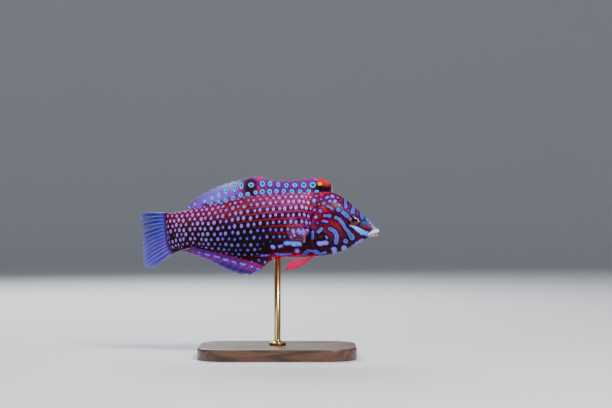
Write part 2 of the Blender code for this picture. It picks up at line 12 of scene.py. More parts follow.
import bpy
import numpy as np
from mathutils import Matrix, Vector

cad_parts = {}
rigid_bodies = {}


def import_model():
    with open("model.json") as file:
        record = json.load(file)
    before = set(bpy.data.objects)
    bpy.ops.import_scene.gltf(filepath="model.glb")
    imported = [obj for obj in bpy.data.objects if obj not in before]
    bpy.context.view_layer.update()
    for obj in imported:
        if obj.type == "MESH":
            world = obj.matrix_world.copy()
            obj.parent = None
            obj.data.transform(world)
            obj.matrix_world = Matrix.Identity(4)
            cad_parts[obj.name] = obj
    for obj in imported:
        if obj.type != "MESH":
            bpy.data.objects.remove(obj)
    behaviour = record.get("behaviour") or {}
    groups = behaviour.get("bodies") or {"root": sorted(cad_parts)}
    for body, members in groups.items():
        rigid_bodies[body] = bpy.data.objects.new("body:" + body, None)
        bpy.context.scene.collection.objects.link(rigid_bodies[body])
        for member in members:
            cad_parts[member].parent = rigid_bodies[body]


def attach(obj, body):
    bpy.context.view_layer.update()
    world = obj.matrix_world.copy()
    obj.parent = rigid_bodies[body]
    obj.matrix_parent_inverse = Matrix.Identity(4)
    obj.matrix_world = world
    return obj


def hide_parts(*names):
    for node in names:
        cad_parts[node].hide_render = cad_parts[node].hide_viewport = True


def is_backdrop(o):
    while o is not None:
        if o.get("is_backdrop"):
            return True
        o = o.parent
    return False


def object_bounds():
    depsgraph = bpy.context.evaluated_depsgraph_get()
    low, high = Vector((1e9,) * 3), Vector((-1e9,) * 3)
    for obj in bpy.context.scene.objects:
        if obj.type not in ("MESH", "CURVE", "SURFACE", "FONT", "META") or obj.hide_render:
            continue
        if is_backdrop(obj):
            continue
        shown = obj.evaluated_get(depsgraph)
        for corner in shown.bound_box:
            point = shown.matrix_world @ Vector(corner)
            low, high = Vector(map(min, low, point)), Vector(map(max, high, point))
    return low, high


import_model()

solid_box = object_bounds()
print("solid model:", [round(1000 * (high - low), 1) for low, high in zip(*solid_box)], "mm")

# %% [markdown]
# ## The camera
# The photograph looks straight at the fish's right side. One of its pixels covers 0.42 mm of
# the fish, and one pixel of the belly line lies over the origin. A level camera a good way
# off with a long lens keeps that view, and sees the top of the stand's base a little.

# %% Place the camera
MM = 0.001
PHOTO_WIDTH, PHOTO_HEIGHT = 612, 408
PIXEL = 0.42
ORIGIN_PIXEL = (277.5, 257.0)
BELLY_HEIGHT = 42.0
CAMERA_AWAY = 700.0


def new_object(name, data):
    made = bpy.data.objects.new(name, data)
    bpy.context.scene.collection.objects.link(made)
    return made


camera = new_object("camera", bpy.data.cameras.new("camera"))
camera.location = (
    MM * PIXEL * (PHOTO_WIDTH / 2 - ORIGIN_PIXEL[0]),
    -MM * CAMERA_AWAY,
    MM * (BELLY_HEIGHT + PIXEL * (ORIGIN_PIXEL[1] - PHOTO_HEIGHT / 2)),
)
camera.rotation_euler = (math.radians(90), 0, 0)
camera.data.sensor_width = 36.0
camera.data.lens = camera.data.sensor_width * CAMERA_AWAY / (PHOTO_WIDTH * PIXEL)
camera.data.clip_start, camera.data.clip_end = 0.01, 20.0
bpy.context.scene.camera = camera
print("camera at", [round(v, 4) for v in camera.location], "lens", round(camera.data.lens, 1))

# %% [markdown]
# ## Small tools for materials
# A material here is a chain of nodes. A Wire stands for what a node puts out, and sums of
# wires are written like sums of numbers, where each sign adds a Math node. The other helpers
# add one node each. Effects that several materials use become groups with named sockets.


# %% Wires, and helpers that add nodes
class Wire:
    """What a node puts out."""

    def __init__(self, socket):
        self.socket, self.tree = socket, socket.id_data

    def __add__(self, other):
        return maths("ADD", self, other)

    def __sub__(self, other):
        return maths("SUBTRACT", self, other)

    def __rsub__(self, other):
        return maths("SUBTRACT", other, self)

    def __mul__(self, other):
        return maths("MULTIPLY", self, other)

    def __abs__(self):
        return maths("ABSOLUTE", self)


def feed(socket, value):
    """Gives a socket a wire, a colour of the palette by its name, or a plain value."""
    if isinstance(value, Wire):
        value.tree.links.new(value.socket, socket)
    else:
        socket.default_value = PALETTE[value] if isinstance(value, str) else value


def feed_all(sockets, **values):
    """Feeds sockets by name, where _ in a name stands for a space."""
    for label, value in values.items():
        feed(sockets[label.replace("_", " ")], value)


def add_node(tree, kind, *values, **settings):
    """A node with these settings, its first sockets fed. With no tree given it joins the values' own."""
    if tree is None:
        tree = next(value.tree for value in values if isinstance(value, Wire))
    made = tree.nodes.new("ShaderNode" + kind)
    for label, value in settings.items():
        setattr(made, label, value)
    for socket, value in zip(made.inputs, values):
        feed(socket, value)
    return made


def maths(operation, *values):
    return Wire(add_node(None, "Math", *values, operation=operation).outputs[0])


def length_of(across, up):
    return maths("SQRT", across * across + up * up)


def ease(value, low, high, to_low=0.0, to_high=1.0):
    """A soft step: to_low up to the value low, to_high from the value high on."""
    given = (value, low, high, to_low, to_high)
    return Wire(add_node(None, "MapRange", *given, interpolation_type="SMOOTHSTEP").outputs[0])


def mix(share, first, second):
    """One colour over another."""
    tree = next(value.tree for value in (share, first, second) if isinstance(value, Wire))
    made = add_node(tree, "Mix", share, data_type="RGBA")
    feed(made.inputs[6], first)
    feed(made.inputs[7], second)
    return Wire(made.outputs[2])


def stored(tree, name, kind="Vector"):
    """What the mesh keeps under this name at each of its points."""
    return Wire(add_node(tree, "Attribute", attribute_name=name).outputs[kind])


def parts_of(vector):
    return [Wire(socket) for socket in add_node(None, "SeparateXYZ", vector).outputs]


def vector_of(*values):
    return Wire(add_node(None, "CombineXYZ", *values).outputs[0])


def noise(where, scale, detail=2.0):
    made = add_node(None, "TexNoise", where)
    feed_all(made.inputs, Scale=scale, Detail=detail)
    return Wire(made.outputs[0])


def place_in_mm(tree, stretch=(1.0, 1.0, 1.0)):
    """The point's own place on the piece, in millimetres, squeezed along each axis."""
    made = add_node(None, "Mapping", Wire(add_node(tree, "TexCoord").outputs["Object"]))
    made.inputs["Scale"].default_value = [s / MM for s in stretch]
    return Wire(made.outputs[0])


def bump(height, depth_mm, strength):
    """A bump of this real depth from a height between 0 and 1."""
    made = add_node(height.tree, "Bump")
    feed_all(made.inputs, Strength=strength, Distance=depth_mm * MM, Height=height)
    return Wire(made.outputs[0])


def new_group(name, takes, gives):
    """An empty group: its tree, its inputs as wires by name, and its output sockets by name."""
    tree = bpy.data.node_groups.new(name, "ShaderNodeTree")
    for in_out, sockets in (("INPUT", takes), ("OUTPUT", gives)):
        for label, kind in sockets.items():
            tree.interface.new_socket(label, in_out=in_out, socket_type="NodeSocket" + kind)
    taken = tree.nodes.new("NodeGroupInput").outputs
    return tree, {label: Wire(taken[label]) for label in takes}, tree.nodes.new("NodeGroupOutput").inputs


def use(tree, group, **values):
    """Places a group and feeds it. Gives its outputs as wires by name."""
    made = add_node(tree, "Group", node_tree=group)
    feed_all(made.inputs, **values)
    return {socket.name: Wire(socket) for socket in made.outputs}


def new_material(name, **fixed):
    """A material, its tree and its main shader's sockets, with values that are the same all over."""
    made = bpy.data.materials.new(name)
    made.use_nodes = True
    sockets = made.node_tree.nodes["Principled BSDF"].inputs
    feed_all(sockets, **fixed)
    return made, made.node_tree, sockets


print("helpers ready")

# %% [markdown]
# ## The fish's own colours
# The wrasse is crimson and near-black under lavender spots. Its face is lined in turquoise
# and lavender with navy outlines. All the pieces take their colours from this one palette,
# so skin, scales and fins always agree. A colour is the share of red, green and blue light
# that it throws back. Reef colours are very pure, so the weak shares are close to nothing.

# %% The palette
PALETTE = {
    "black": (0.004, 0.001, 0.005), "plum": (0.020, 0.003, 0.013), "maroon": (0.075, 0.002, 0.008),
    "brick": (0.230, 0.014, 0.026), "rust": (0.330, 0.045, 0.012), "crimson": (0.380, 0.002, 0.016),
    "scarlet": (0.820, 0.004, 0.008), "rose": (0.800, 0.030, 0.220), "magenta": (0.900, 0.010, 0.180),
    "violet": (0.240, 0.004, 0.380), "orchid": (0.560, 0.060, 0.640), "mauve": (0.200, 0.020, 0.400),
    "grape": (0.110, 0.004, 0.230), "pink": (0.900, 0.300, 0.620), "pale": (0.520, 0.440, 0.950),
    "lavender": (0.260, 0.170, 0.880), "lilac": (0.130, 0.085, 0.780), "periwinkle": (0.190, 0.130, 0.900),
    "indigo": (0.045, 0.040, 0.520), "navy": (0.008, 0.002, 0.060), "steel": (0.040, 0.110, 0.420),
    "teal": (0.012, 0.110, 0.150), "azure": (0.040, 0.340, 0.950), "aqua": (0.067, 0.547, 0.9275),
    "ice": (0.360, 0.520, 0.950), "gold": (0.900, 0.400, 0.010), "lime": (0.750, 0.850, 0.050),
    "upper_lip": (0.500, 0.850, 0.920), "lower_lip": (0.620, 0.160, 0.340),
    "mouth": (0.030, 0.0008, 0.0032), "iris": (0.075, 0.002, 0.035), "pupil": (0.001, 0.001, 0.002),
    "clear_ray": (0.850, 0.450, 0.500), "back_fin_ink": (0.030, 0.004, 0.100),
    "vent_fin_ink": (0.020, 0.001, 0.020), "tail_ink": (0.050, 0.035, 0.300),
    "vent_fin_ground": (0.02325, 0.0066, 0.1125), "belly_fin_ground": (0.485, 0.009, 0.067),
    "paper_shade": (0.76, 0.77, 0.80), "paper": (0.84, 0.85, 0.87), "walnut_dark": (0.045, 0.016, 0.008),
    "walnut_light": (0.125, 0.052, 0.024), "wood_pore": (0.015, 0.006, 0.003),
    "brass_dark": (0.66, 0.42, 0.13), "brass_light": (0.76, 0.51, 0.17),
}  # fmt: skip
PALETTE = {name: (*shares, 1.0) for name, shares in PALETTE.items()}


def lay_over(colour, *coats):
    """Lays coats over the colours of many points. A coat is (colour's name, strength at each point)."""
    for name, strength in coats:
        colour = colour + (np.array(PALETTE[name][:3]) - colour) * np.asarray(strength)[..., None]
    return colour


print(len(PALETTE), "colours")

# %% [markdown]
# ## The studio
# The stand sits on a plain pale floor whose rim curves up all round like a shallow bowl, so
# every view has a calm background. A large soft lamp over the fish's right shoulder makes
# the main highlights, a weaker one fills the shadows, and a third one behind lights the thin
# fins through. The bluish light from all round is weak, or it would veil the black flank.

# %% Build the floor and hang the lamps
FLOOR_RADIUS, RIM_RADIUS, RIM_STEPS, FLOOR_SIDES = 1.1, 0.9, 24, 96


def turned(profile, sides):
    """Rings of points made by turning (radius, height) points round the vertical axis."""
    angles = 2 * math.pi * np.arange(sides) / sides
    return np.array([[(r * math.cos(a), r * math.sin(a), h) for a in angles] for r, h in profile])


def ring_quads(count, around):
    """Quads between neighbours of a stack of closed rings."""
    r, k = np.meshgrid(np.arange(count - 1), np.arange(around), indexing="ij")
    a, b = (r * around + k).ravel(), (r * around + (k + 1) % around).ravel()
    return np.stack((a, b, b + around, a + around), axis=1)


def smooth_mesh(name, places, blocks, finish):
    """A smooth object from points and from blocks of faces with the same number of corners."""
    mesh = bpy.data.meshes.new(name)
    mesh.from_pydata(places, [], [tuple(face) for block in blocks for face in block.tolist()])
    mesh.shade_smooth()
    mesh.materials.append(finish)
    return new_object(name, mesh)


floor_finish, tree, sockets = new_material("floor_paper", Roughness=0.75)
grain = noise(place_in_mm(tree), 0.9, 4.0)
feed_all(sockets, Base_Color=mix(grain, "paper_shade", "paper"), Normal=bump(grain, 0.05, 0.4))
floor_profile = [(0.0001, 0.0), (0.3, 0.0), (0.7, 0.0)]
for a in np.linspace(0, math.pi / 2, RIM_STEPS):
    floor_profile.append((FLOOR_RADIUS + RIM_RADIUS * math.sin(a), RIM_RADIUS * (1 - math.cos(a))))
floor = smooth_mesh(
    "studio_floor", turned(floor_profile, FLOOR_SIDES).reshape(-1, 3),
    [ring_quads(len(floor_profile), FLOOR_SIDES)], floor_finish,
)  # fmt: skip
floor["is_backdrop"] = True

FISH_CENTRE = (0.0, 0.0, 0.055)
LAMPS = {
    "key_lamp": {"place": (0.28, -0.42, 0.52), "size": 0.20, "power": 6.0, "colour": (1.0, 0.97, 0.94)},
    "fill_lamp": {"place": (-0.55, -0.45, 0.22), "size": 0.40, "power": 1.6, "colour": (0.90, 0.94, 1.0)},
    "back_lamp": {"place": (-0.15, 0.50, 0.45), "size": 0.40, "power": 4.5, "colour": (0.95, 0.97, 1.0)},
}
for name, wanted in LAMPS.items():
    lamp = new_object(name, bpy.data.lights.new(name, "AREA"))
    lamp.data.shape, lamp.data.size = "DISK", wanted["size"]
    lamp.data.energy, lamp.data.color = wanted["power"], wanted["colour"]
    lamp.location = wanted["place"]
    x, y, z = (p - c for p, c in zip(wanted["place"], FISH_CENTRE))
    lamp.rotation_euler = (math.atan2(math.hypot(x, y), z), 0, math.atan2(x, -y))

world = bpy.data.worlds.new("studio")
world.use_nodes = True
bpy.context.scene.world = world
feed_all(world.node_tree.nodes["Background"].inputs, Color=(0.70, 0.80, 1.0, 1.0), Strength=0.14)
print("studio ready")

# %% [markdown]
# ## The straight fish
# The solid model's outlines are repeated here as tables: where the back and the belly run,
# how wide the fish is, and how it bends. Reading a smooth curve through a few measured points
# is easier to correct than a cage of points moved by hand.

# %% Outlines of the body
SNOUT_AHEAD = 42.7
BODY_LENGTH, TAIL_FIN_LENGTH = 92.0, 18.0
TURN_START = 50.0
TURN_LENGTH = BODY_LENGTH + TAIL_FIN_LENGTH - TURN_START
TURN_AT_TIP = math.radians(63.0)
TURN_GROWTH = 1.8
CURVE_STEP = 0.25
BACK_LINE = (
    (0.0, 11.4), (2.0, 13.3), (5.8, 16.8), (10.7, 21.3), (14.3, 24.4), (19.6, 27.0), (27.0, 27.0),
    (36.0, 26.7), (45.0, 26.2), (55.0, 25.2), (64.0, 23.3), (73.0, 21.2), (81.0, 19.4), (86.0, 18.5),
    (92.0, 18.2),
)  # fmt: skip
BELLY_LINE = (
    (0.0, 9.5), (4.4, 8.2), (8.6, 6.0), (13.4, 3.5), (18.0, 1.7), (23.0, 0.6), (30.0, 0.0),
    (45.9, -0.3), (53.5, -1.0), (59.0, -0.4), (66.0, 1.3), (73.0, 2.9), (79.0, 3.9), (84.0, 2.9),
    (87.5, 1.8), (92.0, 0.9),
)  # fmt: skip
HALF_WIDTH = (
    (0.0, 0.9), (1.0, 1.45), (2.0, 1.85), (4.5, 2.6), (8.0, 3.5), (12.0, 4.4), (18.0, 5.5), (26.0, 6.2),
    (36.0, 6.3), (48.0, 5.8), (60.0, 4.7), (72.0, 3.4), (82.0, 2.3), (92.0, 1.4),
)  # fmt: skip
WIDEST_LEVEL, FLANK_POWER, RIDGE_POWER = 0.52, 2.2, 0.62
GILL_SEAM = (
    (-4.0, 23.6), (0.5, 24.0), (4.6, 25.8), (9.5, 28.2), (15.5, 28.4), (21.0, 25.8), (26.0, 22.0),
    (32.0, 21.0),
)  # fmt: skip
TAIL_ROOT = (
    (-2.0, 86.2), (1.7, 87.5), (4.2, 89.2), (8.0, 90.2), (13.0, 90.9), (18.3, 91.6), (22.0, 91.8),
)  # fmt: skip
EYE = {"behind": 10.7, "height": 15.1, "aside": 3.05, "radius": 2.55, "half_depth": 1.6}
EYE_PLACE = (EYE["behind"], EYE["height"])
EYE_SWELLING, EYE_SWELLING_REACH = 0.3, 3.0


def smooth(points, at):
    """The smooth curve through points, read at one or many places."""
    xs, ys = np.array(points).T
    at = np.clip(np.asarray(at, float), xs[0], xs[-1])
    slopes = np.empty_like(ys)
    slopes[1:-1] = (ys[2:] - ys[:-2]) / (xs[2:] - xs[:-2])
    slopes[0] = (ys[1] - ys[0]) / (xs[1] - xs[0])
    slopes[-1] = (ys[-1] - ys[-2]) / (xs[-1] - xs[-2])
    i = np.clip(np.searchsorted(xs, at) - 1, 0, len(xs) - 2)
    span = xs[i + 1] - xs[i]
    t = (at - xs[i]) / span
    rest = ys[i] * (1 + 2 * t) * (1 - t) ** 2 + slopes[i] * span * t * (1 - t) ** 2
    return rest + ys[i + 1] * t * t * (3 - 2 * t) + slopes[i + 1] * span * t * t * (t - 1)


def rise(low, high, value):
    """A soft step from 0 at low to 1 at high."""
    t = np.clip((value - low) / (high - low), 0, 1)
    return t * t * (3 - 2 * t)


def hill(value, centre, reach):
    """A soft hill of height 1 round centre."""
    return np.exp(-(((value - centre) / reach) ** 2))


def away_from(place, behind, height):
    return np.hypot(behind - place[0], height - place[1])


def turn(behind):
    """The angle by which the fish has turned at this place."""
    share = np.maximum(0.0, np.asarray(behind, float) - TURN_START) / TURN_LENGTH
    return TURN_AT_TIP * share**TURN_GROWTH


line_places = np.arange(int(2 * BODY_LENGTH / CURVE_STEP) + 1) * CURVE_STEP
line_angles = turn(line_places[:-1] + CURVE_STEP / 2)
line_x = SNOUT_AHEAD - np.concatenate(([0.0], np.cumsum(CURVE_STEP * np.cos(line_angles))))
line_y = np.concatenate(([0.0], np.cumsum(CURVE_STEP * np.sin(line_angles))))


def swim(points):
    """Bends straight points (behind, aside, height) into the swimming curve, in metres."""
    behind, aside, height = np.asarray(points, float).T
    angle = turn(behind)
    x = np.interp(behind, line_places, line_x) - np.minimum(behind, 0.0)
    y = np.interp(behind, line_places, line_y)
    bent = (x + aside * np.sin(angle), y + aside * np.cos(angle), BELLY_HEIGHT + height)
    return MM * np.stack(bent, axis=1)


def levels(behind):
    """Heights of the belly, of the widest place and of the back."""
    belly, back = smooth(BELLY_LINE, behind), smooth(BACK_LINE, behind)
    return belly, belly + WIDEST_LEVEL * (back - belly), back


def half_width(behind, share):
    """The fish's half width, where share goes from 0 at the widest place to 1 at a midline."""
    return smooth(HALF_WIDTH, behind) * (1 - np.minimum(1, abs(share)) ** FLANK_POWER) ** RIDGE_POWER


def section(behind, angle):
    """Aside and height of the plain skin. The angle turns from the left flank up over the back."""
    belly, level, back = levels(behind)
    share = np.sin(angle)
    height = level + share * np.where(share > 0, back - level, level - belly)
    width = half_width(behind, share)
    away = away_from(EYE_PLACE, behind, height) / EYE_SWELLING_REACH
    width = width + EYE_SWELLING * np.exp(-(away**4)) * np.minimum(1.0, width / EYE["radius"])
    return np.copysign(width, np.cos(angle)), height


print("turned by", round(math.degrees(turn(BODY_LENGTH)), 1), "degrees at the body's end")

# %% [markdown]
# ## Measuring along the flank
# Scales and spots sit in even rows, and their rows keep their distance measured over the
# curved flank, not in height. So the skin gets a second way to name a place: how far behind
# the snout, and which share of the way from the belly's midline (0) to the back's (1).

# %% A table from angle to share of the flank, and back
TABLE_STEP = 0.5
TABLE_BEHIND = np.arange(0.0, BODY_LENGTH + 4.5, TABLE_STEP)
TABLE_ANGLE = np.radians(np.linspace(-90, 90, 361))
TABLE_SHARE = np.linspace(0, 1, 241)

grid_b, grid_a = np.meshgrid(TABLE_BEHIND, TABLE_ANGLE, indexing="ij")
wide, tall = section(grid_b, grid_a)
steps = np.hypot(np.diff(wide, axis=1), np.diff(tall, axis=1))
arcs = np.concatenate((np.zeros((len(TABLE_BEHIND), 1)), np.cumsum(steps, axis=1)), axis=1)
HALF_ROUND = arcs[:, -1]
ANGLE_OF_SHARE = np.array([np.interp(TABLE_SHARE, arc / arc[-1], TABLE_ANGLE) for arc in arcs])


def angle_at(behind, share):
    """Reads the table between its places and shares."""
    b = np.clip(behind / TABLE_STEP, 0, len(TABLE_BEHIND) - 1.001)
    c = np.clip(share / TABLE_SHARE[1], 0, len(TABLE_SHARE) - 1.001)
    i, j = b.astype(int), c.astype(int)
    s, t = b - i, c - j
    low = ANGLE_OF_SHARE[i, j] * (1 - t) + ANGLE_OF_SHARE[i, j + 1] * t
    high = ANGLE_OF_SHARE[i + 1, j] * (1 - t) + ANGLE_OF_SHARE[i + 1, j + 1] * t
    return low * (1 - s) + high * s


def skin_point(behind, share, side):
    """The plain skin at this share of one flank. side is 1 for the left and -1 for the right."""
    aside, height = section(behind, angle_at(behind, share))
    return np.stack((behind, side * abs(aside), height), axis=-1)


def skin_normal(behind, share, side):
    """The direction straight out of the plain skin."""
    along = skin_point(behind + 0.2, share, side) - skin_point(behind - 0.2, share, side)
    up = skin_point(behind, np.minimum(share + 0.006, 1), side)
    up = up - skin_point(behind, np.maximum(share - 0.006, 0), side)
    out = np.cross(along, up) * -np.sign(side)[..., None]
    return out / np.linalg.norm(out, axis=-1, keepdims=True)


print("half way round the body at 45 mm:", round(float(HALF_ROUND[90]), 1), "mm")

# %% [markdown]
# ## The scale rows
# On a leopard wrasse each body scale carries one spot, so the spots show where the scales
# are. The columns of one row were measured along the body, and the rows across it. Every
# second row is shifted by half a column, like roof tiles. Columns count along a row, and
# rows count upwards, with row 0 near the middle of the flank.

# %% Coordinates of the scale rows
COLUMN_PLACES = (
    19.9, 21.5, 23.2, 25.0, 26.8, 28.7, 30.6, 32.5, 34.7, 36.9, 39.5, 41.8, 44.4, 47.0, 49.7, 52.3,
    55.0, 57.8, 60.1, 62.5, 65.1, 67.3, 69.8, 72.3, 74.3, 76.7, 79.2, 82.0, 84.3, 86.7, 89.1, 91.5,
    96.3,
)  # fmt: skip
COLUMN_NUMBERS = (*range(-16, 16), 17)
MIDDLE_ROW = (
    (20.0, 0.50), (26.0, 0.50), (28.0, 0.515), (30.6, 0.532), (32.5, 0.552), (35.0, 0.547),
    (50.0, 0.547), (58.0, 0.54), (65.0, 0.511), (70.0, 0.49), (76.0, 0.484), (82.0, 0.50), (85.0, 0.53),
    (96.0, 0.53),
)  # fmt: skip
ROW_PITCH = (
    (20.0, 0.0955), (55.0, 0.0955), (58.0, 0.0975), (65.0, 0.10), (70.0, 0.1035), (75.0, 0.112),
    (80.0, 0.118), (85.0, 0.125), (90.0, 0.13), (96.0, 0.135),
)  # fmt: skip
ROW_SQUEEZE = 0.0035


def share_of_row(behind, row):
    return smooth(MIDDLE_ROW, behind) + smooth(ROW_PITCH, behind) * (row - ROW_SQUEEZE * row**3)


def row_at(behind, share):
    """The inverse of share_of_row, by a few steps of Newton's method."""
    target = (share - smooth(MIDDLE_ROW, behind)) / smooth(ROW_PITCH, behind)
    row = target.copy()
    for _ in range(5):
        row = row - (row - ROW_SQUEEZE * row**3 - target) / (1 - 3 * ROW_SQUEEZE * row**2)
    return np.clip(row, -7.5, 7.5)


def behind_of_column(column):
    return np.interp(column, COLUMN_NUMBERS, COLUMN_PLACES)


def column_at(behind):
    return np.interp(behind, COLUMN_PLACES, COLUMN_NUMBERS)


def pitches(behind):
    """Distance in mm from column to column and from row to row."""
    column = column_at(behind)
    along = behind_of_column(column + 0.5) - behind_of_column(column - 0.5)
    return along, smooth(ROW_PITCH, behind) * np.interp(behind, TABLE_BEHIND, HALF_ROUND)


print("pitch at mid-body:", [round(float(v), 2) for v in pitches(np.array(50.0))], "mm")

# %% [markdown]
# ## Relief of the skin
# The gill cover's free edge, the groove behind it, the eye's rim, the nostrils and the pores
# of the face stand out from the plain body by parts of a millimetre. One function gives that
# height for any place, so that the scales near the gill opening follow the same ground.

# %% Heights of the small forms
NOSTRILS = ((6.5, 15.7), (7.6, 16.9))
CHEEK_EDGE = ((1.5, 15.5), (3.5, 17.2), (6.5, 19.6), (11.0, 20.6), (16.0, 19.6), (20.0, 17.0))
PECTORAL_BASE = (30.5, 8.6)
PORES_FROM_EYE = 3.75
FACE_PORES = [
    (EYE["behind"] + PORES_FROM_EYE * math.cos(a), EYE["height"] + PORES_FROM_EYE * math.sin(a))
    for a in np.radians(np.arange(150, 421, 27))
]
FACE_PORES += [(18.6 - 0.05 * k * k, 3.4 + 2.1 * k) for k in range(8)]
RAISED = {
    "gill_flap": 0.30, "gill_groove": 0.42, "behind_groove": 0.12, "cheek_flap": 0.10, "cheek_groove": 0.08,
    "eye_rim": 0.13, "eye_socket": 1.3, "eye_fold": 0.05, "nostril_rim": 0.09, "nostril": 0.45,
    "pore": 0.07, "fin_muscle": 0.40, "jaw_crease": 0.13,
}  # fmt: skip


def gill_zone(height):
    return rise(0.2, 3.2, height) * (1 - rise(20.0, 23.0, height))


def relief(behind, height):
    """How far small forms stand out from the plain skin, in mm."""
    past = behind - smooth(GILL_SEAM, height)
    edge = RAISED["gill_flap"] * rise(-4.5, -0.4, past) * (1 - rise(-0.25, 0.25, past))
    groove = -RAISED["gill_groove"] * hill(past, 0.42, 0.36)
    groove -= RAISED["behind_groove"] * hill(past, 1.1, 0.8)
    out = gill_zone(height) * (edge + groove)
    past = behind - smooth(CHEEK_EDGE, height)
    on_cheek = rise(1.5, 4.0, height) * (1 - rise(17.0, 20.0, height))
    out += on_cheek * RAISED["cheek_flap"] * rise(-2.5, -0.2, past) * (1 - rise(-0.2, 0.35, past))
    out -= on_cheek * RAISED["cheek_groove"] * hill(past, 0.4, 0.3)
    away = away_from(EYE_PLACE, behind, height)
    out += RAISED["eye_rim"] * hill(away, 2.78, 0.36) - RAISED["eye_socket"] * (1 - rise(2.15, 2.55, away))
    out -= RAISED["eye_fold"] * hill(away, 3.5, 0.3)
    for place in NOSTRILS:
        away = away_from(place, behind, height)
        rim, hole = hill(away, 0.5, 0.14), 1 - rise(0.16, 0.40, away)
        out += RAISED["nostril_rim"] * rim - RAISED["nostril"] * hole
    for place in FACE_PORES:
        out -= RAISED["pore"] * (1 - rise(0.06, 0.22, away_from(place, behind, height)))
    tilted = (behind - PECTORAL_BASE[0]) + 0.2 * (height - PECTORAL_BASE[1])
    out += RAISED["fin_muscle"] * hill(tilted, 0, 1.1) * hill(height, PECTORAL_BASE[1], 2.6)
    crease = 8.9 - 0.34 * (behind - 4.6)
    on_jaw = rise(4.4, 5.2, behind) * (1 - rise(6.8, 9.0, behind))
    return out - on_jaw * RAISED["jaw_crease"] * hill(height, crease, 0.35)


print(len(FACE_PORES), "pores,", len(NOSTRILS), "nostrils on each side")

# %% [markdown]
# ## One mesh for the skin
# The skin is a tube of rings that starts inside the mouth, rolls out over the two lips and
# then runs back to the root of the tail fin. Rings that follow the roll of a lip model the
# mouth line as a real opening, which a shape pushed out of a plain tube could not. The
# head's rings lie 0.15 mm apart and the others 0.3 mm.

# %% Rings from the mouth to the tail
FLANK_POINTS = 144
MOUTH_CORNER = {"behind": 4.2, "aside": 2.15, "height": 9.38, "inner": (3.9, 1.70), "out": (0.95, 0.92)}
LIP_CORNER_RADIUS, LIP_FULLNESS, LIP_RINGS = 0.36, 0.7, 40
# All in degrees: the roll of the lips, the part of it that the corner takes, and where the corner begins.
LIP_ROLL, CORNER_ROLL, CORNER_FROM = (-150, 116), (-105, 115), 58
LIPS = {
    "front": (0.95, 1.4), "front_height": (11.06, 9.34), "corner_height": (9.95, 8.8),
    "deep": (0.95, 0.85), "tall": (0.77, 0.66),
}  # fmt: skip
THROAT = np.array((4.6, 0.0, 9.75))
SNOUT_STEPS, SNOUT_GAP = 26, 0.12
HEAD_START, HEAD_END, SKIN_END = 6.0, 30.0, 92.4
HEAD_STEP, BODY_STEP = 0.15, 0.3
TAIL_PARALLEL_FROM, TAIL_ROOT_TOP = 80.0, 91.8

shares = np.linspace(0, 1, FLANK_POINTS + 1)
ring_share = np.concatenate((shares, shares[-2:0:-1]))
ring_side = np.where(np.arange(2 * FLANK_POINTS) <= FLANK_POINTS, 1, -1)
half_angle = angle_at(np.full_like(ring_share, HEAD_START), ring_share)
ring_angle = np.where(ring_side > 0, half_angle, math.pi - half_angle)
upper_half = np.sin(ring_angle) >= 0


def lip_ring(roll):
    """One ring round the mouth, where roll turns from inside the mouth out over the lips."""
    along = ring_side * (math.pi / 2 - abs(half_angle))
    bow, swing = np.cos(along), np.sin(along)
    size = {key: np.where(upper_half, upper, lower) for key, (upper, lower) in LIPS.items()}
    fullness = np.maximum(bow, 0) ** LIP_FULLNESS
    deep, tall = (
        LIP_CORNER_RADIUS + (size[key] - LIP_CORNER_RADIUS) * fullness for key in ("deep", "tall")
    )
    out = deep * math.cos(roll)
    behind = size["front"] + (MOUTH_CORNER["behind"] - size["front"]) * (1 - bow) - bow * out
    aside = MOUTH_CORNER["aside"] * swing + swing * out
    height = size["corner_height"] + (size["front_height"] - size["corner_height"]) * bow
    height = height + np.where(upper_half, 1, -1) * tall * math.sin(roll)
    at_corner = rise(math.radians(CORNER_FROM), math.radians(90), abs(along))
    opened = (roll - math.radians(CORNER_ROLL[0])) / math.radians(CORNER_ROLL[1] - CORNER_ROLL[0])
    corner_behind, corner_aside = (
        p + q * opened for p, q in zip(MOUTH_CORNER["inner"], MOUTH_CORNER["out"])
    )
    corner = (corner_behind, np.sign(swing) * corner_aside, MOUTH_CORNER["height"])
    mixed = [p * (1 - at_corner) + q * at_corner for p, q in zip((behind, aside, height), corner)]
    return np.stack(mixed, axis=1)


def at_tail(behind, height):
    """Slants the last rings and scales until they lie along the root of the tail fin."""
    slant = rise(TAIL_PARALLEL_FROM, TAIL_ROOT_TOP, behind)
    return behind + slant * (smooth(TAIL_ROOT, height) - TAIL_ROOT_TOP)


def tail_closing(behind):
    return 1 - 0.80 * rise(TAIL_ROOT_TOP - 1.8, SKIN_END, behind)


lip_rings = [lip_ring(roll) for roll in np.radians(np.linspace(*LIP_ROLL, LIP_RINGS))]
mouth_rings = [THROAT + (lip_rings[0] - THROAT) * s for s in (0.12, 0.4, 0.7)]

# From the groove behind the lips the rings spread out over the snout.
groove = lip_rings[-1]
groove_behind = groove[:, 0]
belly, level, back = levels(groove_behind)
rel_height = (groove[:, 2] - level) / np.where(groove[:, 2] > level, back - level, level - belly)
rel_aside = groove[:, 1] / smooth(HALF_WIDTH, groove_behind)
groove_angle = np.arctan2(rel_height, rel_aside)
groove_angle = np.where(groove_angle < -math.pi / 2, groove_angle + 2 * math.pi, groove_angle)
groove_angle[0] = -math.pi / 2
snout_rings = []
for s in np.arange(1, SNOUT_STEPS + 1) / SNOUT_STEPS:
    behind = groove_behind + SNOUT_GAP + (HEAD_START - groove_behind - SNOUT_GAP) * s
    angle = groove_angle + (ring_angle - groove_angle) * rise(0, 1, s)
    plain = np.stack((behind, *section(behind, angle)), axis=1)
    if not snout_rings:
        first_gap = groove - plain
    snout_rings.append(plain + first_gap * (1 - rise(0, 0.4, s)) * (1 - s))

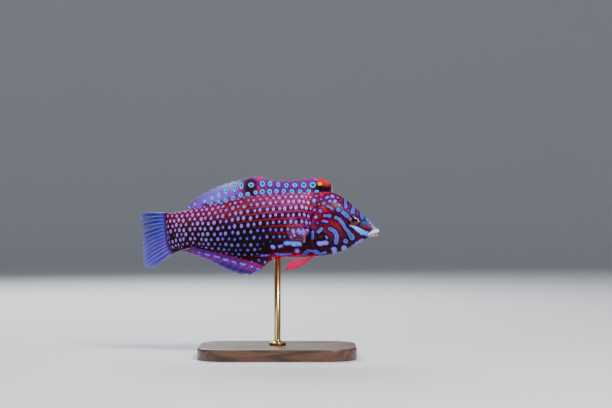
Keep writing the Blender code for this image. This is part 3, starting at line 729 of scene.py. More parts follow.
body_places = [*np.arange(HEAD_START + HEAD_STEP, HEAD_END, HEAD_STEP)]
body_places += [*np.arange(HEAD_END, SKIN_END, BODY_STEP), SKIN_END]
body_rings = []
for place in body_places:
    behind = np.full(len(ring_share), place)
    behind = at_tail(behind, skin_point(behind, ring_share, ring_side)[:, 2])
    point = skin_point(behind, ring_share, ring_side)
    point[:, 1] *= tail_closing(place)
    body_rings.append(point)

skin_grid = np.array(mouth_rings + lip_rings + snout_rings + body_rings)
ring_count, around = skin_grid.shape[:2]
LIP_END = len(mouth_rings) + LIP_RINGS
print(ring_count, "rings of", around, "points")

# %% [markdown]
# A little smoothing takes the kinks out of the snout, and then every point moves out along
# its own normal by the relief.

# %% Smooth the snout and raise the relief
RIDGE_RISE = 0.22
SMOOTHING_PASSES, RELIEF_START_RINGS = 6, 8.0
OWN_WEIGHT, ALONG_WEIGHT, ROUND_WEIGHT = 0.4, 0.3, 0.3

first, last = LIP_END - 3, ring_count - len(body_rings) + 3
for _ in range(SMOOTHING_PASSES):
    inner = skin_grid[first:last]
    along_mean = (skin_grid[first - 1 : last - 1] + skin_grid[first + 1 : last + 1]) / 2
    round_mean = (np.roll(inner, 1, axis=1) + np.roll(inner, -1, axis=1)) / 2
    skin_grid[first:last] = OWN_WEIGHT * inner + ALONG_WEIGHT * along_mean + ROUND_WEIGHT * round_mean

raised = relief(skin_grid[..., 0], skin_grid[..., 2])
raised *= np.clip((np.arange(ring_count) - LIP_END) / RELIEF_START_RINGS, 0, 1)[:, None]
at_ridge = rise(0.955, 1.0, ring_share)[None, :] * rise(18.5, 21.5, skin_grid[..., 0])
raised = raised + RIDGE_RISE * at_ridge * (1 - rise(86.0, 90.0, skin_grid[..., 0]))
round_step = np.roll(skin_grid, -1, axis=1) - np.roll(skin_grid, 1, axis=1)
normals = np.cross(round_step, np.gradient(skin_grid, axis=0))
normals = normals / np.maximum(np.linalg.norm(normals, axis=2, keepdims=True), 1e-9)
skin_grid = skin_grid + normals * raised[..., None]
print("relief from", round(float(raised.min()), 2), "to", round(float(raised.max()), 2), "mm")

# %% [markdown]
# ## Painting the markings
# The marks are strokes of a brush: short lines through points measured on the fish, each
# with a width. For every point of the mesh the distance to the nearest stroke is kept, and
# the material turns distance into colour: navy just outside, a pale rim just inside and a
# teal core. A distance is exact between mesh points too, so the edges stay crisp.

# %% The strokes of the face and the flank, as (half width, behind, height, behind, height, ...)
BLUE_STROKES = (
    (0.66, 14.2, 24.0, 14.1, 21.0), (0.68, 10.5, 21.7, 11.1, 18.7), (0.60, 7.5, 18.4, 7.2, 16.5),
    (0.66, 15.3, 18.8, 13.9, 17.6, 12.7, 16.5), (0.78, 18.4, 16.6, 17.9, 16.35),
    (0.62, 17.9, 16.4, 16.7, 15.8, 15.5, 14.2, 14.4, 12.1, 12.7, 10.1, 11.9, 8.9),
    (0.98, 11.8, 8.7, 11.4, 8.0), (0.74, 20.8, 12.1, 19.2, 11.2, 18.1, 9.8, 17.7, 8.1, 18.2, 6.2),
    (0.82, 14.2, 6.75, 14.1, 6.65), (0.60, 24.2, 12.1, 25.6, 10.8), (0.66, 22.9, 17.4, 21.0, 17.4),
    (0.52, 23.7, 15.2, 21.9, 14.9), (0.80, 17.3, 19.9, 17.25, 19.85), (0.62, 20.0, 20.4, 21.6, 21.3),
    (0.70, 23.4, 22.6, 23.35, 22.55), (0.78, 24.9, 19.3, 24.85, 19.3), (0.56, 28.1, 10.4, 27.9, 7.8),
    (0.60, 31.7, 1.0, 29.7, 2.8, 28.2, 2.7, 26.6, 2.4, 24.8, 1.3, 22.6, 1.9),
    (0.50, 25.9, 14.3, 25.9, 14.25), (0.46, 22.4, 8.9, 21.8, 8.2),
)  # fmt: skip
PALE_STROKES = (
    (1.15, 15.1, 3.8, 14.9, 3.75), (0.72, 11.0, 4.5, 9.5, 5.8), (0.62, 8.3, 6.5, 7.1, 7.3),
    (1.10, 19.0, 3.4, 18.7, 1.6), (0.92, 25.5, 5.8, 22.1, 6.0), (0.80, 27.4, 23.6, 27.3, 23.6),
    (0.42, 25.3, 22.4, 25.3, 22.0), (0.46, 27.0, 21.8, 26.9, 21.8), (0.58, 27.1, 19.8, 27.0, 19.8),
    (0.42, 24.6, 24.4, 24.5, 24.4), (0.62, 26.4, 25.7, 26.3, 25.7), (0.58, 22.4, 25.1, 21.8, 25.3),
    (0.66, 19.9, 25.7, 19.6, 25.6), (0.62, 20.9, 23.4, 20.6, 23.5), (0.74, 18.5, 23.4, 18.4, 23.3),
    (0.60, 16.9, 22.0, 16.8, 21.9), (0.48, 17.3, 25.0, 17.2, 24.9), (0.60, 26.7, 16.8, 26.6, 16.8),
    (0.95, 33.9, 11.1, 33.4, 10.5), (0.85, 32.0, 11.0, 31.8, 10.2), (0.80, 30.2, 11.2, 30.3, 10.3),
    (0.62, 36.1, 11.2, 35.9, 10.4), (0.40, 35.7, 9.2, 35.5, 9.1), (0.86, 34.5, 2.6, 34.4, 2.5),
    (0.42, 43.6, 1.25, 37.0, 1.3), (0.36, 49.6, 0.7, 45.2, 1.0), (0.90, 41.7, 4.7, 41.4, 4.7),
)  # fmt: skip
AZURE_STROKES = (
    (0.85, 39.3, 5.9, 37.2, 6.0, 35.6, 5.6, 33.2, 5.6), (0.80, 44.8, 4.5, 44.3, 4.2),
    (0.58, 12.0, 13.5, 10.6, 12.5), (0.86, 10.3, 12.4, 9.0, 11.6, 7.3, 10.5),
    (1.15, 7.0, 10.4, 5.3, 9.8, 3.6, 9.4),
)  # fmt: skip
DARK_STROKES = (
    (1.60, 24.9, 8.6, 24.2, 8.7), (0.95, 30.0, 9.3, 29.8, 7.8), (0.80, 87.5, 8.4, 87.4, 8.2),
)  # fmt: skip
FAR_OFF = 99.0


def stroke_distance(strokes, behind, height):
    """Distance in mm to the edge of the nearest stroke, negative inside it."""
    nearest = np.full(behind.shape, FAR_OFF)
    for half, *line in strokes:
        for b0, h0, b1, h1 in zip(line[::2], line[1::2], line[2::2], line[3::2]):
            length = (b1 - b0) ** 2 + (h1 - h0) ** 2
            t = np.clip(((behind - b0) * (b1 - b0) + (height - h0) * (h1 - h0)) / length, 0, 1)
            away = away_from((b0 + t * (b1 - b0), h0 + t * (h1 - h0)), behind, height)
            nearest = np.minimum(nearest, away - half)
    return nearest


print(len(BLUE_STROKES) + len(PALE_STROKES) + len(AZURE_STROKES) + len(DARK_STROKES), "strokes")

# %% [markdown]
# Under the marks lies a ground that changes softly: crimson face, violet-pink nape, brick
# back, near-black flank, rosy red belly. Over the upper flank a pink-violet glow is partly the
# fish's colour and partly a painted sheen. It is airbrushed from round clouds of colour, each
# laid over the ones before it.

# %% The airbrushed ground, as (colour, strength, behind, height, reach behind, reach in height)
GROUND_CLOUDS = (
    ("brick", 1.0, 50, 27, 80, 13.0), ("rust", 0.45, 50, 20, 20, 6.0), ("maroon", 0.5, 84, 13, 14, 9.0),
    ("rose", 0.22, 76, 19, 16, 4.0), ("rust", 0.30, 68, 20, 10, 3.0), ("rust", 0.25, 82, 15, 6, 3.0),
    ("black", 0.97, 69, 7.0, 25, 7.5), ("black", 0.7, 44, 4.0, 12, 4.0), ("plum", 0.7, 87, 5, 10, 6.0),
    ("maroon", 0.9, 33, 2, 11, 5.5), ("crimson", 0.9, 38, -0.2, 12, 2.0),
    # The rose cloud at (38, 25), the violet at (39, 22) and the pale at (40, 23) are partly the upper
    # flank's colour and partly a painted pink-violet sheen.
    ("crimson", 0.8, 35, 15, 10, 6.5), ("rose", 0.45, 38, 25, 15, 4.0),
    ("violet", 0.30, 39, 22, 13, 6.0), ("pale", 0.07, 40, 23, 14, 5.0),
    ("violet", 0.5, 29.5, 14, 3.0, 5.0), ("maroon", 1.0, 14, 10, 14, 14.0),
    ("brick", 0.75, 18, 12, 7, 5.0), ("crimson", 0.8, 23, 20, 7, 6.0),
    ("scarlet", 0.35, 25, 21, 4.0, 3.5), ("magenta", 0.40, 19, 25, 5, 2.6),
    ("magenta", 0.40, 27, 25.5, 5, 2.2), ("plum", 0.75, 20, 4, 9, 4.0), ("maroon", 0.7, 12, 8, 5, 3.0),
    ("plum", 0.8, 17.5, 17.8, 4, 2.2), ("plum", 0.8, 13.4, 12.2, 2.6, 3.2),
    ("grape", 0.85, 11.0, 20.5, 4.5, 4.5), ("steel", 0.28, 10.0, 19.8, 4.0, 4.0),
    ("crimson", 0.35, 12.6, 21.5, 0.8, 2.2), ("crimson", 0.35, 9.3, 18.5, 0.7, 2.0),
    ("teal", 0.85, 5.6, 15.4, 3.2, 2.6), ("indigo", 0.6, 4.0, 14.0, 2.4, 1.8),
    ("azure", 0.55, 5.9, 17.0, 0.9, 0.7), ("ice", 0.60, 4.6, 15.9, 0.9, 0.6),
    ("ice", 0.60, 3.4, 14.6, 0.9, 0.6), ("ice", 0.65, 2.2, 12.9, 1.4, 1.0),
    ("brick", 0.85, 5.4, 12.5, 2.8, 0.85), ("crimson", 0.30, 5.0, 12.4, 2.0, 0.6),
    ("scarlet", 0.9, 26, -0.2, 5, 1.6), ("scarlet", 1.0, 37, -0.4, 12, 1.7),
    ("rose", 0.40, 36, -0.4, 14, 1.7),
)  # fmt: skip


def plain_coat(name, behind):
    """One colour for each point, as a ground to lay others over."""
    return np.tile(PALETTE[name][:3], behind.shape + (1,))


def airbrush(clouds, behind, height, start):
    """The ground colour at each point."""
    colour = plain_coat(start, behind)
    for name, strength, b, h, reach_b, reach_h in clouds:
        away = ((behind - b) / reach_b) ** 2 + ((height - h) / reach_h) ** 2
        colour = lay_over(colour, (name, strength * np.exp(-(away**1.5))))
    return colour


print(len(GROUND_CLOUDS), "clouds of colour")

# %% [markdown]
# The spots sit on the scale rows. They are larger and pinker on the back behind the nape,
# smaller towards the belly, and missing where the face's marks and the breast's bars lie.
# Dark stripes run along the rows and fade towards the back.


# %% Everything that the mesh keeps for its material
def markings(behind, height, share):
    """All that the skin's and the scales' materials need to know about these points."""
    blue, pale, azure, dark = (
        stroke_distance(strokes, behind, height)
        for strokes in (BLUE_STROKES, PALE_STROKES, AZURE_STROKES, DARK_STROKES)
    )
    nearest = np.minimum(np.minimum(blue, pale), azure)
    along, across = pitches(behind)
    on_body = rise(27.0, 29.5, behind) * rise(0.35, 0.9, nearest)
    on_body *= np.maximum(rise(5.2, 6.8, height), rise(46.0, 49.0, behind))
    front_back = (1 - rise(36, 50, behind)) * rise(0.60, 0.80, share)
    radius = (0.55 + 0.12 * front_back + 0.03 * rise(0.45, 0.7, share)) * on_body
    radius *= 0.65 + 0.35 * np.maximum(rise(0.0, 0.14, share), hill(behind, 63, 8))

    # Painted shade: black laid into the groove behind the gill cover, into the crease round the eye and
    # into the nostrils. The dark halo round the face's marks, which fades out 27 to 31 mm behind the snout,
    # is their own colour.
    painted_shade_and_halo = 0.85 * gill_zone(height) * hill(behind - smooth(GILL_SEAM, height), 0.35, 0.30)
    painted_shade_and_halo = np.maximum(painted_shade_and_halo, 0.75 * (1 - rise(0.1, 1.5, nearest)) * (1 - rise(27, 31, behind)))
    painted_shade_and_halo = np.maximum(painted_shade_and_halo, 0.75 * hill(away_from(EYE_PLACE, behind, height), 2.62, 0.28))
    for place in NOSTRILS:
        painted_shade_and_halo = np.maximum(painted_shade_and_halo, 0.9 * (1 - rise(0.2, 0.42, away_from(place, behind, height))))
    ground = lay_over(airbrush(GROUND_CLOUDS, behind, height, "plum"), ("black", painted_shade_and_halo))

    high = rise(0.45, 0.85, share)
    front, rear = 1 - rise(36, 60, behind), rise(62, 80, behind)
    spot = lay_over(
        plain_coat("lilac", behind), ("orchid", high * (0.45 + 0.20 * front)),
        ("pink", 0.45 * high * front), ("orchid", 0.35 * rear), ("pink", 0.22 * rear),
        ("navy", 0.35 * (1 - rise(0.15, 0.5, share)) * (1 - rear)),
    )  # fmt: skip
    spot = spot * (0.60 + 0.40 * rise(0.25, 0.75, share))[..., None]
    stripe = (0.85 - 0.45 * rise(52, 70, behind)) * rise(27, 30, behind)
    stripe = stripe * (1 - 0.72 * rise(0.66, 0.85, share))
    stripe = stripe * np.maximum(rise(0.12, 0.24, share), rise(44, 48, behind))
    kept = {
        "lattice": (column_at(behind), row_at(behind, share), stripe), "spot_size": (along, across, radius),
        "marks": (blue, dark, pale), "more_marks": (azure, behind, height),
    }  # fmt: skip
    kept = {label: np.stack(values, axis=-1) for label, values in kept.items()}
    return kept | {"ground": ground, "spot_paint": spot}


print("markings ready")

# %% [markdown]
# ## Turning distances into colour
# Face marks, body spots and fin spots all have the same build: a dark outline, a light rim
# and a deeper core. So that is one node group, used many times. A second group finds the
# nearest scale centre for a point, which gives the body spots, and a third puts all the
# skin's markings together for both the skin and the scales.

# %% The ringed mark
EDGE = 0.13

ringed_mark, taken, given = new_group(
    "Ringed mark",
    {"Distance": "Float", "Below": "Color", "Outline": "Color", "Rim": "Color", "Core": "Color",
     "Outline Width": "Float", "Rim Width": "Float"},
    {"Colour": "Color", "Inside": "Float"},
)  # fmt: skip
distance, outline_width = taken["Distance"], taken["Outline Width"]
outlined = mix(
    ease(distance, outline_width * 0.45, outline_width, 1.0, 0.0), taken["Below"], taken["Outline"]
)
inside = ease(distance, -EDGE, EDGE, 1.0, 0.0)
rimmed = mix(inside, outlined, taken["Rim"])
in_core = ease(distance + taken["Rim Width"], -2 * EDGE, EDGE, 1.0, 0.0)
feed_all(given, Colour=mix(in_core, rimmed, taken["Core"]), Inside=inside)
print(len(ringed_mark.nodes), "nodes in a ringed mark")

# %% The nearest scale centre
JITTER_ALONG, JITTER_ACROSS = 0.10, 0.08
SPOT_HEIGHT = 0.74

scale_spots, taken, given = new_group(
    "Scale spots", {"Place": "Vector", "Size": "Vector"},
    {"Distance": "Float", "Chance": "Float", "Between Rows": "Float"},
)  # fmt: skip
column, row, _ = parts_of(taken["Place"])
pitch_along, pitch_across, spot_radius = parts_of(taken["Size"])
row_number = maths("ROUND", row)
shift = maths("MODULO", row_number + 20.0, 2.0) * 0.5
column_number = maths("ROUND", column - shift)
dice = add_node(scale_spots, "TexWhiteNoise", noise_dimensions="2D")
feed(dice.inputs["Vector"], vector_of(column_number, row_number, 0.0))
chances = [
    Wire(socket)
    for socket in add_node(scale_spots, "SeparateColor", Wire(dice.outputs["Color"])).outputs
]
off_along = column - (column_number + shift) + ease(chances[0], 0.0, 1.0, -JITTER_ALONG, JITTER_ALONG)
off_across = row - row_number + ease(chances[1], 0.0, 1.0, -JITTER_ACROSS, JITTER_ACROSS)
away = length_of(off_along * pitch_along, off_across * pitch_across * SPOT_HEIGHT)
own_radius = spot_radius * ease(chances[2], 0.0, 1.0, 0.88, 1.12)
missing = ease(spot_radius, 0.2, 0.5, 3.0, 0.0)
feed_all(
    given, Distance=away - own_radius + missing, Chance=chances[2],
    Between_Rows=ease(abs(row - row_number), 0.30, 0.44),
)  # fmt: skip
print(len(scale_spots.nodes), "nodes find the nearest scale")

# %% All markings together
wrasse_markings, _, given = new_group("Wrasse markings", {}, {"Colour": "Color"})
tree = wrasse_markings
place, more_marks = stored(tree, "lattice"), stored(tree, "more_marks")
ground, spot_paint = stored(tree, "ground", "Color"), stored(tree, "spot_paint", "Color")
stripe_strength = parts_of(place)[2]
spots = use(tree, scale_spots, Place=place, Size=stored(tree, "spot_size"))
mottled = ease(noise(more_marks, 1.0, 3.0), 0.40, 0.72, 0.0, 0.62)
not_pale = ease(parts_of(ground)[1], 0.05, 0.30, 1.0, 0.0)
ground = mix(mottled * not_pale, ground, "black")
ground = mix((1.0 - spots["Between Rows"]) * stripe_strength, ground, "black")
spotted = use(
    tree, ringed_mark, Distance=spots["Distance"], Below=ground, Outline=mix(0.68, ground, "black"),
    Rim=mix(ease(spots["Chance"], 0.0, 1.0, 0.0, 0.18), spot_paint, "pale"),
    Core=mix(ease(spots["Chance"], 0.2, 1.0, 0.30, 0.75), spot_paint, "steel"),
    Outline_Width=0.40, Rim_Width=0.34,
)  # fmt: skip
blue_distance, dark_distance, pale_distance = parts_of(stored(tree, "marks"))
azure_distance, _, mark_height = parts_of(more_marks)
under_eye = ease(mark_height, 11.0, 12.3)
fine, slow = noise(more_marks, 0.9, 4.0), noise(more_marks, 0.30, 1.0)
wobble = ease(fine, 0.0, 1.0, -0.24, 0.24) + ease(slow, 0.2, 0.8, -0.30, 0.30)
line_core = mix(ease(noise(more_marks, 0.35, 1.0), 0.48, 0.62), "steel", "teal")
marked = use(
    tree, ringed_mark, Distance=dark_distance, Below=spotted["Colour"], Outline="black",
    Rim="black", Core="maroon", Outline_Width=0.5, Rim_Width=0.95,
)  # fmt: skip
for distance, outline, core, outline_width, rim_width in (
    (pale_distance + wobble, "plum", "lavender", 0.32, 0.34),
    (azure_distance + wobble, "navy", mix(under_eye, "azure", "ice"), 0.42, 0.26),
    (blue_distance + wobble * 0.8, "navy", line_core, 0.38, 0.24),
):
    marked = use(
        tree, ringed_mark, Distance=distance, Below=marked["Colour"], Outline=outline, Rim="lilac",
        Core=core, Outline_Width=outline_width, Rim_Width=rim_width,
    )  # fmt: skip
feed(given["Colour"], marked["Colour"])
print(len(tree.nodes), "nodes in the markings")

# %% [markdown]
# ## The skin's finish
# Wet fish skin is glossy under a thin film of slime, with fine grain under it. The grain is a
# group of its own, since the scales and the fins share it.

# %% Grain and the skin's material
fine_grain, taken, given = new_group(
    "Fine grain", {"Scale": "Float"}, {"Height": "Float", "Gloss": "Float"}
)
where = place_in_mm(fine_grain)
gloss = ease(noise(where, 0.35, 3.0), 0.3, 0.7, 0.30, 0.48)
feed_all(given, Height=noise(where, taken["Scale"]), Gloss=gloss)

WET_SKIN = {
    "Coat_Weight": 0.14, "Coat_Roughness": 0.20, "Coat_IOR": 1.33, "IOR": 1.33, "Specular_IOR_Level": 0.10,
}  # fmt: skip
skin_finish, tree, sockets = new_material("wrasse_skin", **WET_SKIN)
grained = use(tree, fine_grain, Scale=5.0)
feed_all(
    sockets, Base_Color=use(tree, wrasse_markings)["Colour"], Roughness=grained["Gloss"],
    Normal=bump(grained["Height"], 0.03, 0.5),
)  # fmt: skip
print("skin finish ready")

# %% [markdown]
# ## From grids of points to objects
# Every piece of this fish is a grid of points, so one function makes the mesh, stores the
# markings on it and rides it on the solid body. The larger pieces also carry a flat map,
# OFBake, in which no two faces lie on each other, so that their paint can be saved as a picture.


# %% Make a piece from points and faces
def make_piece(name, places, blocks, finish, nodes=(), stores=None, flat=None):
    """A piece from places in metres and blocks of faces, with values kept for each point.

    flat gives the map's place of each face's corners, in the order of the faces.
    """
    made = smooth_mesh(name, places, blocks, finish)
    for label, values in (stores or {}).items():
        kind, key = "FLOAT_VECTOR", "vector"
        if label in ("ground", "spot_paint", "paint"):
            kind, key = "FLOAT_COLOR", "color"
            values = np.concatenate((values, np.ones((len(values), 1))), axis=1)
        kept = made.data.attributes.new(label, kind, "POINT")
        kept.data.foreach_set(key, np.asarray(values, dtype=np.float32).ravel())
    if flat is not None:
        layer = made.data.uv_layers.new(name="OFBake")
        layer.data.foreach_set("uv", np.asarray(flat, dtype=np.float32).ravel())
    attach(made, "root")
    if nodes:
        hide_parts(*nodes)
    print(f"{name}: {sum(len(block) * (block.shape[1] - 2) for block in blocks)} triangles")
    return made


def hub_fan(start, around, hub, flip):
    """Triangles from a ring of points to the hub that closes it."""
    a, b = start + np.arange(around), start + (np.arange(around) + 1) % around
    fan = np.stack((np.full(around, hub), a, b), axis=1)
    return fan[:, [0, 2, 1]] if flip else fan


# %% Make the skin
FLAT_EDGE, FLAT_SPAN = 0.02, 0.96

ring_steps = np.linalg.norm(np.diff(skin_grid, axis=0), axis=2).mean(axis=1)
flat_v = FLAT_EDGE + FLAT_SPAN * np.concatenate(([0.0], np.cumsum(ring_steps))) / ring_steps.sum()
flat_u = FLAT_EDGE + FLAT_SPAN * np.arange(around + 1) / around
rows, columns = np.meshgrid(np.arange(ring_count - 1), np.arange(around), indexing="ij")
skin_flat = [np.stack(
    [np.stack((flat_u[columns + dc], flat_v[rows + dr]), axis=-1)
     for dr, dc in ((0, 0), (0, 1), (1, 1), (1, 0))], axis=2,
).reshape(-1, 2)]  # fmt: skip
skin_blocks = [ring_quads(ring_count, around)]
skin_points = skin_grid.reshape(-1, 3)
near, far = flat_u[:-1], flat_u[1:]
for ring, step in ((0, -0.01), (ring_count - 1, 0.01)):
    skin_blocks.append(hub_fan(ring * around, around, len(skin_points), ring == 0))
    skin_points = np.concatenate((skin_points, skin_grid[ring].mean(axis=0)[None]))
    corner_u = ((near + far) / 2, *((far, near) if ring == 0 else (near, far)))
    corner_v = np.broadcast_to([flat_v[ring] + step, flat_v[ring], flat_v[ring]], (around, 3))
    skin_flat.append(np.stack((np.stack(corner_u, axis=1), corner_v), axis=-1).reshape(-1, 2))
skin_shares = np.concatenate((np.tile(ring_share, ring_count), [0.5, 0.5]))
skin_stores = markings(skin_points[:, 0], skin_points[:, 2], skin_shares)

# The inside of the mouth is dark red, and the lips are pale. The face's lines stop before them.
OFF_THE_LIPS = 6.0
ring_of = np.concatenate((np.repeat(np.arange(ring_count), around), [0, ring_count - 1]))
in_mouth = 1 - rise(len(mouth_rings) + 4, len(mouth_rings) + 12, ring_of)
on_lip = 1 - rise(LIP_END - 5, LIP_END + 6, ring_of)
on_upper = np.concatenate((np.tile(upper_half, ring_count), [False, False]))
skin_stores["ground"] = lay_over(
    skin_stores["ground"], ("upper_lip", on_lip * on_upper), ("lower_lip", on_lip * ~on_upper),
    ("mouth", in_mouth),
)  # fmt: skip
skin_stores["marks"] += OFF_THE_LIPS * on_lip[:, None]
skin_stores["more_marks"][:, 0] += OFF_THE_LIPS * on_lip
skin = make_piece(
    "skin", swim(skin_points), skin_blocks, skin_finish,
    ("head", "gill_cover_left", "gill_cover_right", "upper_lip", "lower_lip", "trunk", "tail_stalk"),
    skin_stores, np.concatenate(skin_flat),
)  # fmt: skip

# %% [markdown]
# ## The coat of scales
# A wrasse's scales are thin round-edged plates. The front half of each is rooted in the skin
# under its neighbours, and the rear edge is free and lies over the next ones. Copying one
# plate by particles would not bend it to the body, so each scale is its own small grid laid
# on the skin, lifted more and more towards its rear edge. The front scales stop at the gill
# opening. The pored scales of the side line carry a small tube: the line runs high along
# the back and drops under the end of the back fin.

# %% The measures of a scale, in columns and rows of the grid or in mm
SCALE_ALONG, SCALE_ACROSS = 13, 11
SCALE_ROOT, SCALE_REAR, SCALE_HALF, SHORTEST_SCALE = -0.98, 0.60, 0.66, 0.45
SCALE_SINK, SCALE_LIFT, SCALE_THICK, SCALE_DOME, TUBE_RISE = -0.10, 0.25, 0.055, 0.03, 0.10
ROWS = range(-6, 6)
FIRST_COLUMN, LAST_COLUMN, LAST_REAR = -17, 15, 15.35
SCALES_BEGIN = tuple((height, behind + 0.3) for height, behind in GILL_SEAM[:5])
SCALES_BEGIN += ((20.0, 27.6), (23.5, 26.6), (32.0, 24.6))


def has_side_line(column, row):
    return row == (3 if column <= 5.5 else 2 if column <= 7 else 1 if column <= 8 else 0)


def scale_front(column, row, y):
    """The front edge of a scale, in columns. It never reaches past the gill opening."""
    wanted = behind_of_column(column + SCALE_ROOT + 0.16 * y**2)
    behind, q = wanted, row + 0.9 * SCALE_HALF * y
    for _ in range(4):
        share = np.clip(share_of_row(behind, q), 0.004, 0.996)
        height = skin_point(behind, share, np.ones_like(behind))[..., 2]
        behind = np.maximum(wanted, smooth(SCALES_BEGIN, height))
    return column_at(behind)


def lens(rows, columns, flip=False):
    """Faces of a closed lens: a top grid and an underside that share the points of the rim."""
    grid = np.arange(rows * columns).reshape(rows, columns)
    under = grid.ravel() + grid.size
    rim = np.concatenate((grid[0], grid[-1], grid[:, 0], grid[:, -1]))
    under[rim] = rim
    quads = np.stack((grid[:-1, :-1], grid[:-1, 1:], grid[1:, 1:], grid[1:, :-1]), axis=-1).reshape(-1, 4)
    top, bottom = (quads[:, ::-1], quads) if flip else (quads, quads[:, ::-1])
    return top, under[bottom]


def used_only(places, faces, stores):
    """Leaves out points that no face uses."""
    used, fresh = np.unique(faces, return_inverse=True)
    return places[used], [fresh.reshape(faces.shape)], {label: v[used] for label, v in stores.items()}


print("a scale is a grid of", SCALE_ALONG, "by", SCALE_ACROSS, "points")


# %% Make a flank's scales as one piece
def scale_points(column, row, side, front, rear, u, y, chance):
    """The straight outer and under points of one scale, and what is kept for each of them."""
    c = front + (rear - front) * u
    q = row + SCALE_HALF * (0.90 + 0.10 * np.sin(math.pi * u)) * y
    b = behind_of_column(c)
    s = np.clip(share_of_row(b, q), 0.004, 0.996)
    sides = np.full_like(b, side)
    closing = tail_closing(b)
    b = at_tail(b, skin_point(b, s, sides)[..., 2])
    place, normal = skin_point(b, s, sides), skin_normal(b, s, sides)
    place[..., 1] *= closing
    rooted = np.clip((c - front) / (column + SCALE_REAR - front), 0, 1)
    whole = rise(0.15, 0.65, rear - front)
    under = SCALE_SINK + SCALE_LIFT * rooted * whole + relief(place[..., 0], place[..., 2])
    under = under + 0.012 * chance.standard_normal()
    plump = np.minimum(1.0, 5.0 * np.minimum(1 - u, 0.12 + u)) * np.sqrt(1 - y**2 * 0.999)
    top = under + (SCALE_THICK * plump + SCALE_DOME * (1 - y**2)) * (0.3 + 0.7 * whole)
    if has_side_line(column, row):
        top = top + TUBE_RISE * rise(0.30, 0.45, u) * (1 - rise(0.86, 0.93, u)) * hill(y, 0.0, 0.15)
    kept = (b, s, place[..., 2], c, q, c - column, y, np.full_like(y, chance.random()))
    kept = np.stack(kept, axis=-1).reshape(-1, len(kept))
    return [(place + normal * out[..., None]).reshape(-1, 3) for out in (top, under)], [kept, kept]


def scale_patch(column, row, at, share, part_u, part_v, corners, shift, width):
    """The map's place of these corners, in the patch at the scale's own root."""
    low, high = float(behind_of_column(column - 0.5)), float(behind_of_column(column + 0.5))
    pitch = 0.94 * float(share_of_row(at, row + 0.5) - share_of_row(at, row - 0.5))
    u = low / 100 + (high - low) / 100 * (shift + width * part_u[corners])
    v = 0.02 + 0.94 * share - 0.46 * pitch + 0.92 * pitch * (0.03 + 0.94 * part_v[corners])
    return np.stack((u, v), axis=-1).reshape(-1, 2)


def scale_coat(name, side, finish):
    u, y = np.meshgrid(np.linspace(0, 1, SCALE_ALONG), np.linspace(-1, 1, SCALE_ACROSS), indexing="ij")
    part_u, part_v = u.ravel(), (y.ravel() + 1) / 2
    top, bottom = lens(SCALE_ALONG, SCALE_ACROSS, side > 0)
    chance = np.random.default_rng(7 + side)
    straight, kept, faces, flat = [], [], [], []
    for row in ROWS:
        for column in np.arange(FIRST_COLUMN, LAST_COLUMN + 1) + 0.5 * (row % 2):
            at = float(behind_of_column(column))
            share = float(share_of_row(at, row))
            if not 0.02 < share < 0.99:
                continue
            bow = 0.62 * np.sqrt(1 - (0.96 * y) ** 2) * (1 + 0.04 * chance.standard_normal())
            rear = np.minimum(column - 0.02 + bow, LAST_REAR)
            front = scale_front(column, row, y)
            if (rear - front)[0].max() < SHORTEST_SCALE:
                continue
            front = np.minimum(front, rear - 0.02)
            start = len(kept) * u.size
            points, values = scale_points(column, row, side, front, rear, u, y, chance)
            straight += points
            kept += values
            for block, shift, width in ((top, 0.04, 0.56), (bottom, 0.66, 0.30)):
                faces.append(block + start)
                corners = block % u.size
                flat.append(scale_patch(column, row, at, share, part_u, part_v, corners, shift, width))
    behind, share, height, *rest = np.concatenate(kept).T
    stores = markings(behind, height, share)
    stores["lattice"][:, :2] = np.stack(rest[:2], axis=1)
    stores["near"] = np.stack(rest[2:], axis=1)
    straight, faces, stores = used_only(np.concatenate(straight), np.concatenate(faces), stores)
    print(len(kept) // 2, "scales")
    make_piece(name, swim(straight), faces, finish, (), stores, np.concatenate(flat))


# %% [markdown]
# The scales' finish uses the same markings group as the skin. Growth rings and the fan of
# fine furrows on each scale come from its own place coordinates, as a bump too small to
# model, and their edges are a touch darker.

# %% The scales' finish, and both coats
RINGS_PER_SCALE, FURROWS_PER_SCALE = 62.0, 46.0

scale_lines, taken, given = new_group(
    "Scale growth lines", {"Near": "Vector"}, {"Height": "Float", "Edge": "Float"}
)
along, across, _ = parts_of(taken["Near"])
from_root = along + 1.1
reach = maths("SQRT", from_root * from_root + across * across * 0.55)
fan = maths("SINE", maths("ARCTAN2", across, from_root) * FURROWS_PER_SCALE)
furrows = ease(fan, 0.3, 1.0) * ease(along, -0.3, 0.4)
growth = maths("SINE", reach * RINGS_PER_SCALE) * 0.12 - furrows
feed_all(given, Height=growth, Edge=ease(reach, 1.50, 1.70))

scale_finish, tree, sockets = new_material("wrasse_scales", **WET_SKIN)
lined = use(tree, scale_lines, Near=stored(tree, "near"))
feed_all(
    sockets, Base_Color=mix(lined["Edge"] * 0.35, use(tree, wrasse_markings)["Colour"], "black"),
    Roughness=use(tree, fine_grain, Scale=6.0)["Gloss"], Normal=bump(lined["Height"], 0.008, 0.4),
)  # fmt: skip
for word, side in (("left", 1), ("right", -1)):
    scale_coat(f"scales_{word}", side, scale_finish)

# %% [markdown]
# ## The eyes
# A wrasse's eye turns freely in its socket: a black pupil with a thin reddish ring, a dark
# crimson iris crossed by the lines of the face and by two painted pink highlights beside the
# pupil, and a clear cornea that bulges a little. The ball is a grid turned round the line of
# sight. The iris pattern is drawn by distance and direction from the pupil's middle.

# %% The eye's finish
PUPIL = 1.0
IRIS_LINES_AND_HIGHLIGHTS = (
    # The two pink lines beside the pupil are painted highlights. The pale line and the turquoise line carry
    # the face's lines across the iris.
    ("pink", 0.30, (1.5, 0.9), (2.1, -0.2)),
    ("pink", 0.26, (-1.3, 1.2), (-1.8, 0.5)),
    ("pale", 0.22, (-0.3, 2.1), (0.2, 2.1)),
    ("upper_lip", 0.28, (-1.0, -1.9), (0.1, -2.1)),
)

